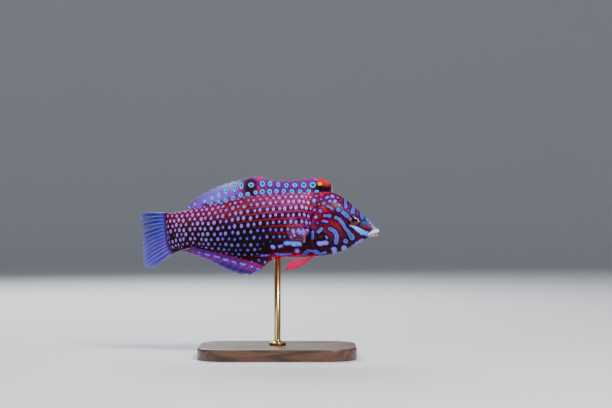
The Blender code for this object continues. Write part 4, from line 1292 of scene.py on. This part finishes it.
eye_finish, tree, sockets = new_material(
    "wrasse_eye", Roughness=0.25, Coat_Weight=0.7, Coat_Roughness=0.02, IOR=1.34, Specular_IOR_Level=0.3,
)  # fmt: skip
iris_x, iris_z, _ = parts_of(stored(tree, "iris"))
away = length_of(iris_x, iris_z)
direction = maths("ARCTAN2", iris_z, iris_x)
colour = mix(noise(vector_of(direction * 3.0, away * 0.5, 0.0), 4.0, 3.0), "black", "iris")
for name, half, (x0, z0), (x1, z1) in IRIS_LINES_AND_HIGHLIGHTS:
    long_x, long_z = x1 - x0, z1 - z0
    length = long_x**2 + long_z**2
    from_x, from_z = iris_x - x0, iris_z - z0
    part = from_x * (long_x / length) + from_z * (long_z / length)
    part = maths("MINIMUM", maths("MAXIMUM", part, 0.0), 1.0)
    far = length_of(from_x - part * long_x, from_z - part * long_z)
    colour = mix(ease(far, half * 0.2, half * 1.3, 0.75, 0.0), colour, name)
ring = ease(away, PUPIL, PUPIL + 0.10) * ease(away, PUPIL + 0.10, PUPIL + 0.30, 0.30, 0.0)
colour = mix(ring, colour, "brick")
colour = mix(ease(away, PUPIL, PUPIL + 0.06, 1.0, 0.0), colour, "pupil")
feed(sockets["Base Color"], mix(ease(away, 2.15, 2.45, 0.0, 0.8), colour, "black"))
print(len(tree.nodes), "nodes in the eye's finish")

# %% Turn the eyeballs
EYE_RINGS, EYE_SIDES = 40, 64
RADIUS_PLAY, DEPTH_PLAY, POLE_PLAY = 0.04, 0.06, 0.01
CORNEA_RISE, CORNEA_REACH = 0.05, 1.1


def eyeball(name, side, node):
    """A ball round the line of sight whose front bulges into a cornea."""
    tilt = np.linspace(0, math.pi, EYE_RINGS + 2)[1:-1]
    radius = (EYE["radius"] - RADIUS_PLAY) * np.sin(tilt)
    bulge = CORNEA_RISE * hill(radius, 0, CORNEA_REACH) * (tilt < math.pi / 2)
    depth = (EYE["half_depth"] - DEPTH_PLAY) * np.cos(tilt) + bulge
    ball = turned(zip(radius, depth), EYE_SIDES).reshape(-1, 3)
    poles = [[0, 0, EYE["half_depth"] - POLE_PLAY], [0, 0, DEPTH_PLAY - EYE["half_depth"]]]
    ball = np.concatenate((ball, poles))
    x, z, out = ball.T
    straight = np.stack((EYE["behind"] - x, side * (EYE["aside"] + out), EYE["height"] + z), axis=1)
    blocks = [
        ring_quads(EYE_RINGS, EYE_SIDES), hub_fan(0, EYE_SIDES, len(ball) - 2, True),
        hub_fan((EYE_RINGS - 1) * EYE_SIDES, EYE_SIDES, len(ball) - 1, False),
    ]  # fmt: skip
    if side < 0:
        blocks = [block[:, ::-1] for block in blocks]
    iris = np.stack((x, z, out), axis=1)
    make_piece(name, swim(straight), blocks, eye_finish, (node,), {"iris": iris})


for word, side in (("left", 1), ("right", -1)):
    eyeball(f"eyeball_{word}", side, f"eye_{word}")

# %% [markdown]
# ## Thin fins with branching rays
# A fin is a membrane stretched between bony rays. Near the body a soft ray is one rod. It
# splits in two and then in four towards the edge, and the membrane ends between the tips in
# shallow scallops. The solid model needs half a millimetre of thickness, while the real
# membrane is far thinner. So each fin is a new closed sheet on the same rays: hardly a tenth
# of a millimetre at the membrane, and raised over the rays in the sheet's own surface.

# %% Rays of a fin and how they branch
GAP_STEPS = (0.0, 0.045, 0.09, 0.15, 0.24, 0.36, 0.5, 0.64, 0.76, 0.85, 0.91, 0.955)
SLIT_STEPS = (0.0, 0.05, 0.1, 0.18, 0.28, 0.38, 0.43, 0.47, 0.5, 0.53, 0.57, 0.62, 0.72, 0.82, 0.9, 0.95)
MEMBRANE_HALF = 0.05
BRANCH_SPREAD = 0.2
FLAT_HALF = 0.46
SPINE_STOUTNESS = 1.15
NO_MARKS = 9.0
NOTCH_SHARPNESS, NOTCH_FADE = 2.5, 12.0


def ray_rows(ray, shares):
    """Points of a ray at these shares of its length. A share below 0 lies inside the body."""
    root, tip, bow = (np.asarray(v, float) for v in ray)
    s = shares[:, None]
    return root + (tip - root) * s + bow * (4 * s * (1 - s)) * (s > 0)


def fin_height(k, part, share, spacing, radius, spines):
    """Half thickness of the sheet and how much of a ray lies here, at a part of the gap after ray k."""
    thick, mask = np.full(share.shape, MEMBRANE_HALF), np.zeros(share.shape)
    first = rise(0.25, 0.6, share) * BRANCH_SPREAD / 2
    second = rise(0.6, 0.95, share) * BRANCH_SPREAD / 4
    for ray, off in ((k, part), (k + 1, part - 1.0)):
        if ray < spines:
            branches, stout = (0.0,), SPINE_STOUTNESS
        else:
            branches = (first + second, first - second, second - first, -first - second)
            stout = 1 - 0.45 * rise(0.3, 0.8, share)
        wide = radius * (1 - 0.55 * share) * stout
        for branch in branches:
            away = np.minimum(abs(off - branch) * spacing / wide, 1)
            round_ = np.sqrt(1 - away**2)
            thick = np.maximum(thick, MEMBRANE_HALF + 0.9 * wide * round_)
            mask = np.maximum(mask, round_)
    return thick, mask


print("a membrane is", 2 * MEMBRANE_HALF, "mm thick")


# %% Make a fin from its rays
def fin_sheet(name, rays, across, finish, painter, node, notches, rows, radius=0.2, spines=0,
              slits=(), billow=0.12, side=1, root_sink=0.9):  # fmt: skip
    """A closed thin sheet over rays, which are (root, tip, bow) from the first to the last.

    notches gives, for the gap after ray k, how deep the edge is cut, where and how widely.
    """
    lengths = np.array([np.linalg.norm(np.subtract(tip, root)) for root, tip, _ in rays])
    sunk = np.linspace(-root_sink / lengths.mean(), -0.02, 4)
    shares = np.concatenate((sunk, np.linspace(0.0, 1.0, rows)))
    inside = np.clip(shares, 0, 1)
    across = np.asarray(across, float)
    last = len(rays) - 2
    edges = (0.4, 0.7, 1.0)
    columns = [(0, -edge) for edge in edges[::-1]]
    columns += [(k, p) for k in range(last + 1) for p in (SLIT_STEPS if k in slits else GAP_STEPS)]
    columns += [(last, 1.0)] + [(last, 1.0 + edge) for edge in edges]
    fronts, backs, fields = [], [], []
    for k, part in columns:
        low, high = ray_rows(rays[k], shares), ray_rows(rays[k + 1], shares)
        spacing = np.maximum(np.linalg.norm(high - low, axis=1), 1e-6)
        inner = min(max(part, 0.0), 1.0)
        depth, centre, reach = notches(k)
        notch = depth * np.exp(-abs((inner - centre) / reach) ** NOTCH_SHARPNESS)
        notch *= min(1.0, NOTCH_FADE * min(inner, 1 - inner))
        s = np.where(shares > 0, shares * (1.0 - notch), shares)
        low_at, high_at = ray_rows(rays[k], s), ray_rows(rays[k + 1], s)
        over = (part - inner) * radius * (1 - 0.5 * inside)
        point = low_at + (high_at - low_at) * inner + (high - low) * (over / spacing)[:, None]
        thick, mask = fin_height(k, inner + over / spacing, inside, spacing, radius, spines)
        thick = thick * (1 - rise(0.90, 1.0, inside) * 0.5)
        wave = billow * np.sin(2 * math.pi * inner) * rise(0.05, 0.5, inside)
        wave = wave + billow * 0.8 * np.sin(k * 1.7 + 2.1 * inside) * rise(0.2, 1.0, inside)
        point = point + across * (wave * (1 if part == inner else 0.6))[:, None]
        fronts.append(point + across * thick[:, None])
        backs.append(point - across * thick[:, None])
        fields.append(np.stack((np.full(shares.shape, k + inner), inside * (1.0 - notch), mask), axis=1))
    wide, long_ = len(columns), len(shares)
    front, back = np.concatenate(fronts), np.concatenate(backs)
    top, bottom = lens(wide, long_, side > 0)
    rim = np.ones((wide, long_), bool)
    rim[1:-1, 1:-1] = False
    front[rim.ravel()] = (front[rim.ravel()] + back[rim.ravel()]) / 2
    part_u, part_v = (part.ravel() for part in np.meshgrid(
        np.linspace(0, 1, wide), np.linspace(0, 1, long_), indexing="ij"))  # fmt: skip
    flat = []
    for block, start in ((top, FLAT_EDGE), (bottom, 0.5 + FLAT_EDGE)):
        corners = (block % (wide * long_)).ravel()
        flat_u, flat_v = start + FLAT_HALF * part_u[corners], FLAT_EDGE + FLAT_SPAN * part_v[corners]
        flat.append(np.stack((flat_u, flat_v), axis=-1))
    straight = np.concatenate((front, back))
    u, share, mask = np.tile(np.concatenate(fields), (2, 1)).T
    colour, opacity, mask, distance = painter(straight[:, 0], straight[:, 2], u, share, mask)
    rings = (np.full(u.shape, NO_MARKS) if distance is None else distance, opacity, mask)
    stores = {"paint": colour, "rings": np.stack(rings, axis=1)}
    straight, faces, stores = used_only(straight, np.concatenate((top, bottom)), stores)
    make_piece(name, swim(straight), faces, finish, (node,), stores, np.concatenate(flat))


# %% [markdown]
# ## The fins' finish
# Every fin has a painted ground, paler rays and a membrane that lets light through, and some
# have ringed spots like the face's marks. Only the values differ, so one function builds all
# the fin materials from the same groups.


# %% A fin's material
def fin_material(name, ray_colour, ray_share, rim, core, ink, outline_width=0.24):
    made, tree, sockets = new_material(
        name, Roughness=0.35, Coat_Weight=0.15, Coat_Roughness=0.15, IOR=1.34, Specular_IOR_Level=0.12
    )
    ring_distance, opacity, ray = parts_of(stored(tree, "rings"))
    where = place_in_mm(tree)
    ground = mix(ease(noise(where, 1.6, 3.0), 0.45, 0.8, 0.0, 0.25), stored(tree, "paint", "Color"), ink)
    wobble = ease(noise(where, 0.9, 2.0), 0.25, 0.75, -0.07, 0.07)
    ringed = use(
        tree, ringed_mark, Distance=ring_distance + wobble, Below=mix(ray * ray_share, ground, ray_colour),
        Outline=ink, Rim=rim, Core=core, Outline_Width=outline_width, Rim_Width=0.36,
    )  # fmt: skip
    thicker = maths("MAXIMUM", ringed["Inside"], ray * 0.85)
    feed_all(
        sockets, Base_Color=ringed["Colour"], Alpha=maths("MAXIMUM", opacity, thicker * 0.96),
        Normal=bump(use(tree, fine_grain, Scale=7.0)["Height"], 0.02, 0.4),
    )  # fmt: skip
    return made


def round_marks(spots, behind, height):
    """Distance to the edge of the nearest oval spot, given as (behind, height, half wide, half tall)."""
    nearest = np.full(behind.shape, FAR_OFF)
    for b, h, wide, tall in spots:
        away = np.hypot((behind - b) / wide, (height - h) / tall)
        nearest = np.minimum(nearest, (away - 1) * min(wide, tall))
    return nearest


print("fin finish and fin spots ready")


# %% [markdown]
# ## The back fin
# Nine spines and eleven soft rays. It carries two rows of ringed turquoise spots, the black
# eyespot with its yellow and red at the front, and a second dark blotch above the middle.

# %% Build the back fin
DORSAL = {"spines": 9, "rays": 11, "start": 20.0, "first_ray": 50.5, "end": 79.2}
DORSAL_EDGE = (
    (20.2, 30.6), (21.4, 32.8), (24.5, 33.7), (30.3, 33.2), (38.7, 32.2), (45.0, 32.7), (50.9, 34.0),
    (57.0, 32.9), (64.8, 30.9), (69.0, 29.3), (73.2, 27.2), (76.8, 25.0), (82.6, 20.6),
)  # fmt: skip
# The rings are (behind, height, half wide, half tall), and the clouds are like those of the ground.
DORSAL_RINGS = (
    (57.9, 30.0, 0.85, 1.4), (53.8, 30.3, 1.2, 1.0), (49.0, 30.8, 1.05, 1.2), (45.7, 30.8, 0.85, 1.2),
    (42.4, 30.5, 0.85, 1.0), (39.0, 30.1, 0.95, 0.9), (35.4, 30.2, 1.05, 0.85), (31.7, 30.2, 1.05, 1.1),
    (27.9, 30.3, 1.25, 1.15), (60.8, 28.9, 0.8, 1.5), (64.4, 27.7, 0.8, 1.3), (67.4, 26.1, 0.7, 1.1),
    (70.3, 24.8, 0.6, 0.9), (73.5, 23.5, 0.55, 0.8), (58.2, 26.1, 0.85, 0.95), (55.2, 26.4, 0.9, 0.9),
    (51.9, 27.1, 0.8, 0.85), (49.1, 27.4, 1.0, 1.0), (46.0, 27.5, 0.95, 1.0), (43.1, 27.7, 0.85, 0.85),
    (40.1, 27.7, 0.85, 0.85), (36.7, 27.6, 0.95, 0.8), (33.2, 27.6, 0.9, 0.75),
    (29.6, 27.6, 0.95, 0.75), (26.2, 27.5, 0.8, 0.65), (61.3, 24.6, 0.85, 1.1), (64.6, 23.9, 0.8, 0.9),
    (67.6, 23.2, 0.7, 0.8), (70.6, 22.2, 0.75, 0.75), (77.8, 22.2, 0.55, 0.8), (80.4, 20.9, 0.4, 0.55),
)  # fmt: skip
DORSAL_CLOUDS = (
    ("grape", 0.95, 40, 28.5, 22, 5.0), ("violet", 0.55, 40, 33.3, 22, 1.8),
    ("periwinkle", 0.75, 68, 27, 10, 8.0), ("violet", 0.45, 62, 28, 7, 3.0),
    ("ice", 0.8, 70, 31.5, 13, 3.2), ("maroon", 1.0, 54.3, 29.6, 4.2, 4.6),
    ("black", 0.85, 54.2, 27.2, 3.0, 2.6), ("black", 0.8, 54.0, 31.0, 2.4, 1.8),
    ("scarlet", 0.8, 50.4, 32.8, 0.8, 0.8), ("scarlet", 0.6, 50.5, 29.0, 0.7, 0.9),
    ("crimson", 0.7, 58.2, 27.9, 0.9, 0.8), ("maroon", 1.0, 23.5, 29.5, 4.2, 3.6),
    ("black", 1.0, 23.3, 28.6, 4.0, 2.6), ("black", 1.0, 24.4, 28.5, 2.9, 2.3),
    ("scarlet", 1.0, 22.3, 31.7, 2.0, 1.7), ("scarlet", 0.8, 24.6, 32.6, 2.2, 1.0),
    ("rust", 0.8, 22.0, 30.2, 0.9, 0.5), ("gold", 1.0, 24.9, 30.9, 0.95, 0.65),
    ("lime", 0.8, 24.8, 30.5, 0.7, 0.4), ("pale", 0.8, 26.5, 33.3, 0.9, 0.8),
    ("black", 0.85, 73.2, 21.8, 1.6, 0.9), ("grape", 0.85, 59.8, 25.4, 1.0, 1.1),
    ("grape", 0.80, 63.0, 24.6, 0.9, 1.0), ("navy", 0.70, 66.2, 23.5, 0.9, 0.9),
    ("navy", 0.70, 69.3, 22.6, 0.9, 0.8),
)  # fmt: skip


def edge_ray(behind, line, gap, lean, edge, bow):
    """A ray that stands on the back or belly line and ends at the fin's edge."""
    root = (behind, 0.0, float(smooth(line, behind)) + gap)
    return root, (behind + lean, 0.0, float(smooth(edge, behind + lean))), (-bow[0], 0.0, bow[1])


def dorsal_rays():
    spines, last = DORSAL["spines"], DORSAL["spines"] + DORSAL["rays"] - 1
    places = (DORSAL["start"], DORSAL["first_ray"], DORSAL["end"])
    return [
        edge_ray(float(np.interp(k, (0, spines, last), places)), BACK_LINE, 0.3,
                 0.4 + 3.2 * (k / last) ** 0.8, DORSAL_EDGE, (0.35, 0.12))
        for k in range(last + 1)
    ]  # fmt: skip


def dorsal_painter(behind, height, u, share, mask):
    spiny = 1 - rise(8.5, 9.5, u)
    near_spine = hill(abs(u - np.round(u)), 0, 0.16)
    margin = rise(0.93, 0.99, share) * (1 - spiny * near_spine)
    colour = lay_over(
        airbrush(DORSAL_CLOUDS, behind, height, "mauve"),
        ("magenta", 0.85 * rise(0.82, 0.97, share) * near_spine * spiny * rise(26.5, 28.5, behind)),
        ("ice", 0.7 * margin * rise(26.5, 28.0, behind)), ("pink", 0.6 * hill(u, 0, 0.05)),
    )  # fmt: skip
    opacity = 0.94 - 0.30 * rise(58, 70, behind) * rise(0.4, 0.9, share)
    mask = mask * rise(0.01, 0.10, colour.mean(axis=1))
    return colour, opacity, mask, round_marks(DORSAL_RINGS, behind, height)


violet_finish = fin_material("violet_fin_skin", "magenta", 0.22, "aqua", "teal", "back_fin_ink", 0.20)
fin_sheet(
    "back_fin", dorsal_rays(), (0, 1, 0), violet_finish, dorsal_painter, "dorsal_fin",
    radius=0.22, rows=44, spines=DORSAL["spines"],
    notches=lambda k: (0.17, 0.62, 0.34) if k < DORSAL["spines"] - 1 else (0.05, 0.5, 0.4),
)  # fmt: skip

# %% [markdown]
# ## The fin behind the vent
# Three short spines and eleven soft rays. A crimson line runs along it. Above the line it is
# dark as the flank with a few pale dots, and below it violet with a row of blue dashes.

# %% Build the anal fin
ANAL_START, ANAL_END, ANAL_SPINES, ANAL_RAYS = 45.2, 79.8, 3, 11
ANAL_EDGE = (
    (45.4, -1.2), (47.0, -3.5), (50.2, -5.7), (55.7, -7.9), (60.8, -6.6), (65.7, -4.6), (70.1, -2.2),
    (78.0, 0.9), (84.0, 2.5),
)  # fmt: skip
# The dashes and the red line are strokes like those of the face.
ANAL_DASHES = (
    (0.30, 76.4, 1.9, 75.4, 1.7), (0.38, 73.2, 1.2, 72.3, 0.8, 71.4, 0.8),
    (0.44, 69.3, 0.4, 68.3, 0.0, 67.2, -0.1), (0.50, 65.3, -0.9, 64.6, -1.3, 63.7, -1.2),
    (0.44, 61.6, -1.9, 60.4, -2.4), (0.50, 58.2, -2.7, 57.2, -3.2, 56.3, -3.1),
    (0.46, 54.0, -3.9, 53.1, -4.2), (0.44, 51.3, -5.0, 50.4, -5.2), (0.42, 47.9, -2.1, 47.9, -2.4),
    (0.50, 50.6, -1.1, 50.4, -1.5), (0.40, 53.6, -1.9, 53.4, -2.1),
)  # fmt: skip
ANAL_RED_LINE = (
    (0.2, 45.9, -0.5, 46.8, -2.8, 48.7, -4.2, 52.0, -2.9, 56.0, -1.6, 62.5, 0.5, 67.0, 1.6, 73.0, 3.0),
)  # fmt: skip
ANAL_BAND = (
    (45.2, -4.5), (48.7, -4.1), (52.0, -2.8), (56.0, -1.5), (62.5, 0.6), (67.0, 1.7), (74.0, 3.2),
    (84.0, 5.0),
)  # fmt: skip


def anal_rays():
    last = ANAL_SPINES + ANAL_RAYS - 1
    return [
        edge_ray(ANAL_START + (ANAL_END - ANAL_START) * k / last, BELLY_LINE, -0.3,
                 0.6 + 4.2 * min(1.0, k / ANAL_SPINES) ** 0.8, ANAL_EDGE, (0.25, -0.1))
        for k in range(last + 1)
    ]  # fmt: skip


def anal_painter(behind, height, u, share, mask):
    red = stroke_distance(ANAL_RED_LINE, behind, height)
    above = smooth(ANAL_BAND, behind) - height
    colour = lay_over(
        plain_coat("vent_fin_ground", behind),
        ("crimson", 0.80 * hill(above, 2.3, 0.8) * (0.5 + 0.5 * np.sin(2.1 * behind))),
        ("mauve", 0.30 * hill(above, 3.2, 0.9)), ("lilac", 0.35 * rise(0.80, 0.93, share)),
        ("grape", 0.75 * rise(2.0, 1.2, above)), ("black", 0.85 * rise(0.35, -0.35, above)),
        ("crimson", 0.8 * rise(0.45, 0.0, red)), ("ice", 0.75 * rise(0.93, 0.985, share)),
    )  # fmt: skip
    opacity = 0.96 - 0.14 * rise(0.6, 0.95, share) * rise(52, 58, behind)
    return colour, opacity, mask * rise(0.0, 1.2, above), stroke_distance(ANAL_DASHES, behind, height)


vent_finish = fin_material("vent_fin_skin", "orchid", 0.20, "lilac", "azure", "vent_fin_ink")
fin_sheet(
    "vent_fin", anal_rays(), (0, 1, 0), vent_finish, anal_painter, "anal_fin", rows=36,
    spines=ANAL_SPINES, notches=lambda k: (0.12, 0.6, 0.35) if k < ANAL_SPINES else (0.05, 0.5, 0.4),
)  # fmt: skip

# %% [markdown]
# ## The tail fin
# Fourteen rays fan out from the scaled root. The upper ones have drawn together in bundles,
# which leaves slits in the membrane, two of them deep.

# %% Build the tail fin
TAIL_RAYS = 14
TAIL_TIP_BEHIND = ((0.0, 100.5), (0.077, 105.4), (0.25, 106.8), (0.5, 106.9), (0.8, 108.3), (1.0, 110.0))
TAIL_TIP_HEIGHT = ((0.0, -5.1), (0.077, -4.9), (0.25, -1.4), (0.5, 5.0), (1.0, 18.0))
TAIL_SLITS = {11: 0.66, 9: 0.84, 12: 0.25, 7: 0.18}
TAIL_DOT_COLUMNS = (94.0, 95.9, 97.9, 100.0)


def tail_rays():
    low, high = TAIL_ROOT[1][0], TAIL_ROOT[-2][0]
    rays = []
    for share in np.arange(TAIL_RAYS) / (TAIL_RAYS - 1):
        height = low + (high - low) * share
        root = (float(smooth(TAIL_ROOT, height)) + 0.3, 0.0, height)
        tip = (float(smooth(TAIL_TIP_BEHIND, share)), 0.0, float(smooth(TAIL_TIP_HEIGHT, share)))
        rays.append((root, tip, (0.0, 0.0, 0.8 * (share - 0.5))))
    return rays


def tail_painter(behind, height, u, share, mask):
    mid_gap = 1 - rise(0.08, 0.40, abs(u - np.floor(u) - 0.5))
    colour = lay_over(
        plain_coat("indigo", behind), ("mauve", 0.30 * (1 - rise(4.0, 8.0, u))),
        ("periwinkle", 0.55 * rise(0.3, 0.9, share)),
        ("navy", 0.85 * mid_gap * rise(0.10, 0.4, share) * (0.35 + 0.65 * rise(5.5, 8.5, u))),
        ("maroon", 0.85 * (1 - rise(0.02, 0.12, share))), ("ice", 0.25 * rise(0.75, 0.98, share)),
    )  # fmt: skip
    for row, dot_behind in enumerate(TAIL_DOT_COLUMNS):
        for dot_height in np.arange(1.2 + 0.9 * (row % 2), 17.5, 1.9):
            away = away_from((dot_behind, dot_height), behind, height)
            colour = lay_over(colour, ("navy", (0.55 - 0.1 * row) * (1 - rise(0.25, 0.62, away))))
    opacity = 0.93 - 0.28 * rise(0.3, 1.0, share)
    return colour, opacity, mask * rise(0.02, 0.16, share) * (0.55 + 0.45 * rise(5.0, 2.0, u)), None


blue_finish = fin_material("blue_fin_skin", "ice", 0.55, "lavender", "azure", "tail_ink")
fin_sheet(
    "tail_fan", tail_rays(), (0, 1, 0), blue_finish, tail_painter, "tail_fin",
    radius=0.24, rows=64, slits=TAIL_SLITS, billow=0.16, side=-1, root_sink=1.6,
    notches=lambda k: (TAIL_SLITS[k], 0.5, 0.075) if k in TAIL_SLITS else (0.03, 0.5, 0.4),
)  # fmt: skip

# %% [markdown]
# ## The side and belly fins
# The side fins are clear as glass with fine pinkish rays, and dark red at their root. The
# belly fins are crimson with brighter streaks and a pale rear edge, and hang below the breast.

# %% Build the paired fins
PECTORAL_RAYS, PECTORAL_SPREAD = 12, math.radians(42.0)
PECTORAL_ROOT = ((30.8, 6.5), (29.9, 10.6))
PECTORAL_ANGLES = (math.radians(-16), math.radians(38))
PECTORAL_LENGTH = ((0.0, 7.2), (0.25, 9.6), (0.6, 12.2), (0.85, 12.8), (1.0, 11.6))
PELVIC_RAYS = 6
PELVIC_ROOT = ((26.8, 2.5), (28.9, 0.9))
PELVIC_TIPS = ((39.6, 4.6, -5.3), (38.2, 2.0, -1.8))
PELVIC_BOW = (0.5, -1.7)
PELVIC_OUT = (-0.15, -0.75, -0.62)


def between(ends, share):
    """A point between two ends."""
    return np.array(ends[0]) + (np.array(ends[1]) - np.array(ends[0])) * share


def pectoral_rays(side):
    back = np.array((math.cos(PECTORAL_SPREAD), side * math.sin(PECTORAL_SPREAD), 0.0))
    rays = []
    for share in np.arange(PECTORAL_RAYS) / (PECTORAL_RAYS - 1):
        behind, height = between(PECTORAL_ROOT, share)
        belly, level, top = levels(behind)
        aside = half_width(behind, (height - level) / (top - level if height > level else level - belly))
        root = np.array((behind, side * (aside + 0.3), height))
        angle = between(PECTORAL_ANGLES, share)
        direction = back * math.cos(angle) + np.array((0, 0, math.sin(angle)))
        tip = root + direction * float(smooth(PECTORAL_LENGTH, share))
        rays.append((root, tip, (0.0, side * 0.5, 0.0)))
    return rays


def pelvic_rays(side):
    mirrored = np.array((1, side, 1))
    rays = []
    for share in np.arange(PELVIC_RAYS) / (PELVIC_RAYS - 1):
        behind, aside = between(PELVIC_ROOT, share)
        belly, level, _ = levels(behind)
        width = min(1.0, aside / float(smooth(HALF_WIDTH, behind)))
        under = (1 - width ** (1 / RIDGE_POWER)) ** (1 / FLANK_POWER)
        root = np.array((behind, side * aside, level - under * (level - belly) - 0.45))
        bow = np.array((0.0, side * PELVIC_BOW[0], PELVIC_BOW[1])) * (1 - 0.9 * share)
        rays.append((root, between(PELVIC_TIPS, share**0.8) * mirrored, bow))
    return rays


def pectoral_painter(behind, height, u, share, mask):
    base = 1 - rise(0.02, 0.20, share)
    mask = 0.15 * mask * rise(0.10, 0.35, share) * (1 - 0.6 * rise(0.6, 1.0, share))
    return lay_over(plain_coat("pink", behind), ("maroon", base)), 0.02 + 0.70 * base, mask, None


def pelvic_painter(behind, height, u, share, mask):
    colour = lay_over(
        plain_coat("belly_fin_ground", behind), ("scarlet", 0.3 * hill(u, 2.4, 1.4)),
        ("magenta", 0.5 * hill(u % 1.0, 0.5, 0.15) * rise(0.15, 0.5, share)),
        ("orchid", 0.6 * rise(4.1, 4.9, u)),
    )  # fmt: skip
    return colour, 0.95 - 0.35 * rise(3.8, 5.0, u), mask, None


clear_finish = fin_material("clear_fin_skin", "clear_ray", 0.6, "pale", "azure", "rose")
red_finish = fin_material("red_fin_skin", "crimson", 0.7, "pale", "azure", "crimson")
for word, side in (("left", 1), ("right", -1)):
    across = (-math.sin(PECTORAL_SPREAD), side * math.cos(PECTORAL_SPREAD), 0)
    fin_sheet(
        f"side_fin_{word}", pectoral_rays(side), across, clear_finish, pectoral_painter,
        f"pectoral_fin_{word}", radius=0.10, rows=40, notches=lambda k: (0.03, 0.5, 0.4), billow=0.10,
        side=side, root_sink=0.8,
    )  # fmt: skip
    out = np.array(PELVIC_OUT) * (1, side, 1)
    fin_sheet(
        f"belly_fin_{word}", pelvic_rays(side), out / np.linalg.norm(out), red_finish, pelvic_painter,
        f"pelvic_fin_{word}", rows=40, spines=1, notches=lambda k: (0.07, 0.5, 0.35),
        billow=0.10, side=side, root_sink=0.7,
    )  # fmt: skip

# %% [markdown]
# ## The stand
# A plain base of walnut with a rounded edge, and a brass rod turned on a lathe with a
# small foot. The rod's top ends in the belly. Both keep the solid model's sizes and only
# have finer steps. The wood's grain runs along the base under a satin varnish, and the brass
# was drawn lengthwise through fine grit.

# %% Walnut and brass
walnut, tree, sockets = new_material("walnut", Coat_Weight=0.25, Coat_Roughness=0.2)
figure = noise(place_in_mm(tree, (0.012, 0.09, 0.09)), 1.0)
bands = maths("PINGPONG", figure * 9.0, 0.5)
colour = mix(ease(bands, 0.0, 0.5), "walnut_dark", "walnut_light")
pores = ease(noise(place_in_mm(tree, (0.16, 3.2, 3.2)), 1.0, 3.0), 0.56, 0.70)
feed_all(
    sockets, Base_Color=mix(pores * 0.75, colour, "wood_pore"),
    Roughness=ease(figure, 0.3, 0.7, 0.34, 0.50), Normal=bump(1.0 - pores, 0.05, 0.5),
)  # fmt: skip

brass, tree, sockets = new_material("brass", Metallic=1.0)
lines = noise(place_in_mm(tree, (5.0, 5.0, 0.04)), 1.0, 3.0)
feed_all(
    sockets, Base_Color=mix(lines, "brass_dark", "brass_light"),
    Roughness=ease(lines, 0.3, 0.7, 0.20, 0.28), Normal=bump(lines, 0.003, 0.25),
)  # fmt: skip
print("walnut and brass ready")

# %% Shape the base and turn the rod
BASE = {
    "length": 66.0, "width": 46.0, "thickness": 5.0, "corner": 12.0, "edge": 0.8, "rim": 0.6,
    "foot_edge": 0.25,
}  # fmt: skip
ROD = {"radius": 1.3, "foot": 3.6, "foot_height": 1.4, "edge": 0.3, "fillet": 1.1, "into_belly": 0.7}
CORNER_STEPS, EDGE_STEPS, ROD_SIDES = 24, 7, 96


def stacked(name, rings, finish, node):
    """A closed piece from rings of points, in mm, from the lowest to the highest."""
    count, around = rings.shape[:2]
    bottom = np.arange(around)[None]
    blocks = [bottom[:, ::-1], bottom + (count - 1) * around, ring_quads(count, around)]
    made = make_piece(name, MM * rings.reshape(-1, 3), blocks, finish, (node,))
    for cap in made.data.polygons[:2]:
        cap.use_smooth = False


def base_ring(inset, height):
    """The base's outline with round corners, drawn in by inset."""
    radius = BASE["corner"] - inset
    x, y = BASE["length"] / 2 - BASE["corner"], BASE["width"] / 2 - BASE["corner"]
    return [
        (sign_x * x + radius * math.cos(angle), sign_y * y + radius * math.sin(angle), height)
        for quarter, (sign_x, sign_y) in enumerate(((1, 1), (-1, 1), (-1, -1), (1, -1)))
        for angle in np.linspace(0, math.pi / 2, CORNER_STEPS) + quarter * math.pi / 2
    ]


# A quarter round of size 1, as steps (inwards, down) from the corner.
quarter_round = [(1 - math.cos(a), 1 - math.sin(a)) for a in np.linspace(0, math.pi / 2, EDGE_STEPS)]
base_rings = [base_ring(BASE["foot_edge"], 0.0), base_ring(0.0, BASE["foot_edge"])]
for inwards, down in quarter_round:
    base_rings.append(base_ring(BASE["edge"] * inwards, BASE["thickness"] - BASE["edge"] * down))
base_rings.append(base_ring(BASE["edge"] + BASE["rim"], BASE["thickness"]))
stacked("wooden_base", np.array(base_rings), walnut, "stand_base")

foot_top = BASE["thickness"] + ROD["foot_height"]
rod_profile = [(ROD["foot"], BASE["thickness"] + 0.01)]
for inwards, down in quarter_round:
    rod_profile.append((ROD["foot"] - ROD["edge"] * inwards, foot_top - ROD["edge"] * down))
for inwards, down in quarter_round:
    rod_profile.append((ROD["radius"] + ROD["fillet"] * down, foot_top + ROD["fillet"] * inwards))
rod_profile.append((ROD["radius"], BELLY_HEIGHT + ROD["into_belly"]))
stacked("brass_rod", turned(rod_profile, ROD_SIDES), brass, "stand_rod")

# %% [markdown]
# ## Measure the size
# The boxes of the solid model and of the dressed fish are printed together. The dressed
# fish has to stay inside the solid model's box.

# %% Measure the boxes
dressed_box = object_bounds()
for word, box in (("solid", solid_box), ("dressed", dressed_box)):
    print(word, [[round(1000 * v, 2) for v in corner] for corner in box])
